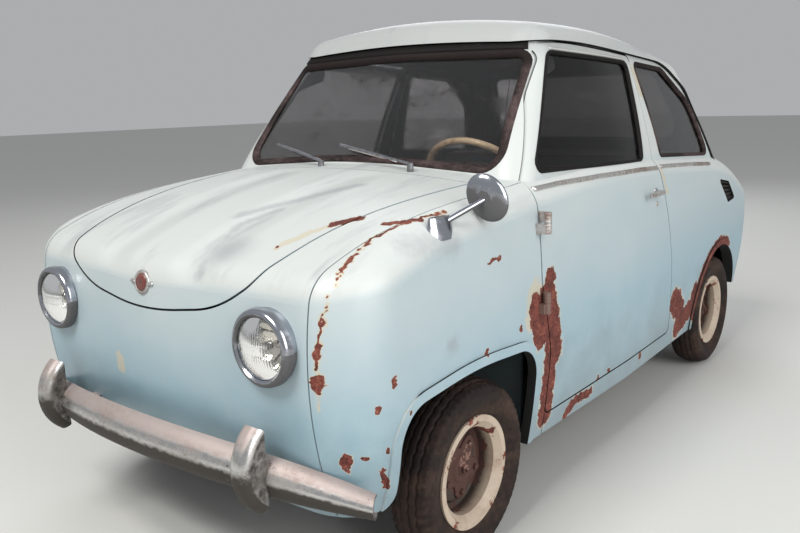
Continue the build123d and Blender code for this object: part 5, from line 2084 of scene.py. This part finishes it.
@dataclass
class Seats:
    """Two front seats and a bench, as crowned pads with sewn channels and piping."""

    seat_x: float = 0.250

    def build(self) -> None:
        """Make every pad."""
        for hand in Hand:
            x = self.seat_x * hand.value
            Pad(f"seat_cushion_{hand.word}", (x, -0.066, 0.412), (0.213, 0.214, 0.054), 0.05, 5, Sewn.UP,
                "front_seats").build()
            Pad(f"seat_back_{hand.word}", (x, 0.238, 0.622), (0.203, 0.250, 0.040), 0.19, 5, Sewn.FORWARD,
                "front_seats").build()
        Pad("bench_cushion", (0.0, 0.431, 0.357), (0.495, 0.107, 0.056), 0.09, 9, Sewn.UP,
            "rear_bench").build()
        Pad("bench_back", (0.0, 0.588, 0.552), (0.495, 0.236, 0.040), 0.10, 9, Sewn.FORWARD,
            "rear_bench").build()


@dataclass
class MirrorGlass:
    """The silvered glass and its rim on the fender mirror."""

    head: Point = (0.613, -0.862, 0.890)
    face: Point = (-0.22, 1.0, 0.08)
    up: Point = (-0.5, -0.1, 0.86)
    half: tuple[float, float] = (0.0405, 0.0525)
    steps: int = 72

    def ring(self, share: float, lift: float) -> list[Vector]:
        """One oval ring of the glass.

        Args:
            share: its size against the whole glass.
            lift: how far it stands out of the head.

        Returns:
            Its points.
        """
        out = Vector(self.face).normalized()
        across = -out.cross(Vector(self.up)).normalized()
        up = out.cross(across).normalized()
        turns = (2 * math.pi * k / self.steps for k in range(self.steps))
        return [Vector(self.head) + out * lift + across * (self.half[0] * share * math.cos(a)) +
                up * (self.half[1] * share * math.sin(a)) for a in turns]

    def build(self) -> None:
        """Set the glass in the head's open side."""
        glass, rim = MeshParts(), MeshParts()
        crowned = [self.ring(s, 0.0012 + 0.0014 * (1 - s * s)) for s in (0.98, 0.8, 0.6, 0.4, 0.2)]
        glass.loft([self.ring(0.98, 0.0002)] + crowned)
        rim.tube(self.ring(1.02, 0.0008), 0.0022, 10, closed=True)
        glass.piece("fender_mirror_glass", SILVER, "body")
        rim.piece("fender_mirror_rim", BRIGHT_CHROME, "body")


@dataclass
class WiperBlades:
    """A rubber blade with its steel back on each wiper arm."""

    # x of the pivot and of the tip
    spans: Pairs = ((-0.085, -0.295), (0.248, -0.030))
    low: Point = (0.0, -0.672, 0.942)
    tip: Point = (0.0, -0.644, 0.988)
    fall: Point = (0.0, 0.25, -0.10)
    stand_off: float = 0.0045

    def build(self) -> None:
        """Lay the blades along the outer part of each arm."""
        skin = Skin("fixed_glass", "scuttle_and_pillars")
        rubber, steel = MeshParts(), MeshParts()
        for pivot_x, tip_x in self.spans:
            path = []
            for k in range(25):
                t = 0.30 + 0.72 * k / 24
                here = Vector((pivot_x + (tip_x - pivot_x) * t, self.low[1] + (self.tip[1] - self.low[1]) * t,
                               self.low[2] + (self.tip[2] - self.low[2]) * t))
                found = skin.hit(here - Vector(self.fall), Vector(self.fall).normalized())
                if found:
                    path.append(found[0] + found[1] * self.stand_off)
            if len(path) > 4:
                rubber.tube(path, 0.0036, 8, flat=0.7)
                steel.tube([p + Vector((0, -0.0034, 0.0012)) for p in path], 0.0026, 8, flat=0.6)
        rubber.piece("wiper_blade_rubbers", BLACK_SEAL, "body")
        steel.piece("wiper_blade_backs", RUSTY_CHROME, "body")


@dataclass
class TailLampRings:
    """A chrome ring round each tail lamp."""

    x: float = 0.505
    z: float = 0.600
    ring_r: float = 0.0385
    bar_r: float = 0.0036
    steps: int = 64

    def build(self) -> None:
        """Seat a ring on the body round each lens."""
        metal = MeshParts()
        for hand in Hand:
            skin = Skin(f"quarter_{hand.word}", "tail_panel")
            path = []
            for k in range(self.steps):
                turn = 2 * math.pi * k / self.steps
                start = End.REAR.beyond((self.x + self.ring_r * math.cos(turn)) * hand.value,
                                        self.z + self.ring_r * math.sin(turn))
                found = skin.hit(start, End.REAR.inward)
                if found:
                    path.append(found[0] + found[1] * 0.001)
            metal.tube(path, self.bar_r, 10, closed=True)
        metal.piece("tail_lamp_rings", RUSTY_CHROME, "body")


@dataclass
class DashDial:
    """The speedometer's face with its blank scale and needle."""

    centre: Point = (0.265, -0.4985, 0.8165)
    radius: float = 0.0445
    lean: float = 70.0
    marks_at: tuple[float, ...] = (0.76, 0.83, 0.90)
    needle_at: tuple[float, ...] = (-0.12, 0.2, 0.5, 0.72)
    needle_turn: float = -1.9
    rim_section: Pairs = ((0.000, 0.0445), (0.004, 0.0450), (0.0055, 0.0480), (0.0045, 0.0520),
                          (0.000, 0.0525))

    def build(self) -> None:
        """Set the dial in the dashboard's recess."""
        out = Vector((0, math.sin(math.radians(self.lean)), -math.cos(math.radians(self.lean))))
        centre = Vector(self.centre)
        face, marks, rim = MeshParts(), MeshParts(), MeshParts()
        section = ((-0.001, 0.0), (-0.001, self.radius), (0.0006, self.radius), (0.0010, self.radius * 0.6),
                   (0.0012, 0.0))
        face.revolve(section, centre, out, 48)
        up = LEFTWARDS.cross(out)
        for k in range(13):
            turn = math.radians(-120 + 20 * k)
            way = LEFTWARDS * math.sin(turn) + up * math.cos(turn)
            marks.tube([centre + out * 0.0018 + way * (self.radius * s) for s in self.marks_at], 0.0009, 6)
        way = LEFTWARDS * math.sin(self.needle_turn) + up * math.cos(self.needle_turn)
        marks.tube([centre + out * 0.003 + way * (self.radius * s) for s in self.needle_at],
                   [0.0018, 0.0014, 0.0009, 0.0004], 6)
        rim.revolve(self.rim_section, centre, out, 64)
        face.piece("dial_face", BLACK_SEAL, "body")
        marks.piece("dial_marks_and_needle", PLASTIC, "body")
        rim.piece("dial_rim", RUSTY_CHROME, "body")


# Stage, light and camera


@dataclass
class Studio:
    """A pale floor, soft light and the camera at the photograph's viewing angle."""

    eye: Point = (1.5505, -2.3683, 1.1026)
    yaw: float = -38.462
    pitch: float = -11.742
    roll: float = -1.619
    lens: float = 35.36
    film_width: float = 36.0
    floor_reach: float = 40.0
    floor_color: Color = (0.60, 0.60, 0.58)
    sky_color: Color = (0.82, 0.84, 0.86)
    sky_strength: float = 0.50
    # name, place, side in metres, power in watts, colour
    lamps: tuple[tuple[str, Point, float, float, Color], ...] = (
        ("key_light", (0.2, -4.2, 5.0), 2.2, 270.0, (1.0, 0.98, 0.94)),
        ("side_light", (5.2, -1.4, 2.6), 4.0, 210.0, (1.0, 0.99, 0.98)),
        ("back_light", (-3.0, 5.0, 4.0), 4.0, 120.0, (0.95, 0.97, 1.0)))

    def floor(self) -> None:
        """Lay the floor."""
        mesh = bpy.data.meshes.new("studio_floor")
        reach = self.floor_reach
        mesh.from_pydata([(-reach, -reach, 0), (reach, -reach, 0), (reach, reach, 0), (-reach, reach, 0)], [],
                         [(0, 1, 2, 3)])
        floor = bpy.data.objects.new("studio_floor", mesh)
        bpy.context.scene.collection.objects.link(floor)
        made = bpy.data.materials.new("pale_floor")
        made.use_nodes = True
        shader = made.node_tree.nodes["Principled BSDF"]
        shader.inputs["Base Color"].default_value = (*self.floor_color, 1)
        shader.inputs["Roughness"].default_value = 0.9
        mesh.materials.append(made)

    def light(self, name: str, place: Vector, size: float, power: float, color: Color) -> None:
        """Hang one soft square light that looks at the car.

        Args:
            name: its name.
            place: where it hangs.
            size: its side.
            power: its power in watts.
            color: its colour.
        """
        data = bpy.data.lights.new(name, "AREA")
        data.energy = power
        data.size = size
        data.color = color
        lamp = bpy.data.objects.new(name, data)
        lamp.location = place
        lamp.rotation_euler = (Vector((0, 0, 0.5)) - place).to_track_quat("-Z", "Y").to_euler()
        bpy.context.scene.collection.objects.link(lamp)

    def camera(self) -> None:
        """Stand the camera at the photograph's viewing angle."""
        data = bpy.data.cameras.new("photo_camera")
        data.lens = self.lens
        data.sensor_width = self.film_width
        data.clip_end = 200.0
        camera = bpy.data.objects.new("photo_camera", data)
        yaw, pitch, roll = (math.radians(v) for v in (self.yaw, self.pitch, self.roll))
        ahead = Vector((math.sin(yaw) * math.cos(pitch), math.cos(yaw) * math.cos(pitch), math.sin(pitch)))
        right = ahead.cross(UPWARDS).normalized()
        up = right.cross(ahead)
        turned = right * math.cos(roll) + up * math.sin(roll)
        upright = up * math.cos(roll) - right * math.sin(roll)
        camera.matrix_world = Matrix((
            (turned.x, upright.x, -ahead.x, self.eye[0]),
            (turned.y, upright.y, -ahead.y, self.eye[1]),
            (turned.z, upright.z, -ahead.z, self.eye[2]),
            (0, 0, 0, 1)))
        bpy.context.scene.collection.objects.link(camera)
        bpy.context.scene.camera = camera

    def build(self) -> None:
        """Set the whole stage."""
        self.floor()
        for name, place, size, power, color in self.lamps:
            self.light(name, Vector(place), size, power, color)
        world = bpy.data.worlds.new("studio")
        world.use_nodes = True
        ground = world.node_tree.nodes["Background"]
        ground.inputs["Color"].default_value = (*self.sky_color, 1)
        ground.inputs["Strength"].default_value = self.sky_strength
        bpy.context.scene.world = world
        bpy.context.scene.view_settings.view_transform = "Standard"
        self.camera()


def main() -> None:
    """Build the scene in order."""
    logging.basicConfig(level=logging.INFO, format="%(name)s %(message)s")
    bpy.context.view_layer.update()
    Studio().build()
    Bodywork().dress()
    HiddenMetal().dress()
    Glazing().build()
    HeaderRubberAndShade().build()
    Headlamps().build()
    NoseBadge().build()
    MirrorGlass().build()
    WiperBlades().build()
    TailLampRings().build()
    DashDial().build()
    Seats().build()
    for hand in Hand:
        DoorTrim(hand).build()
        DoorFrame(hand).build()
        for end in End:
            Tyre(end, hand).build()
            WheelCentre(end, hand).build()


if __name__ == "__main__":
    main()
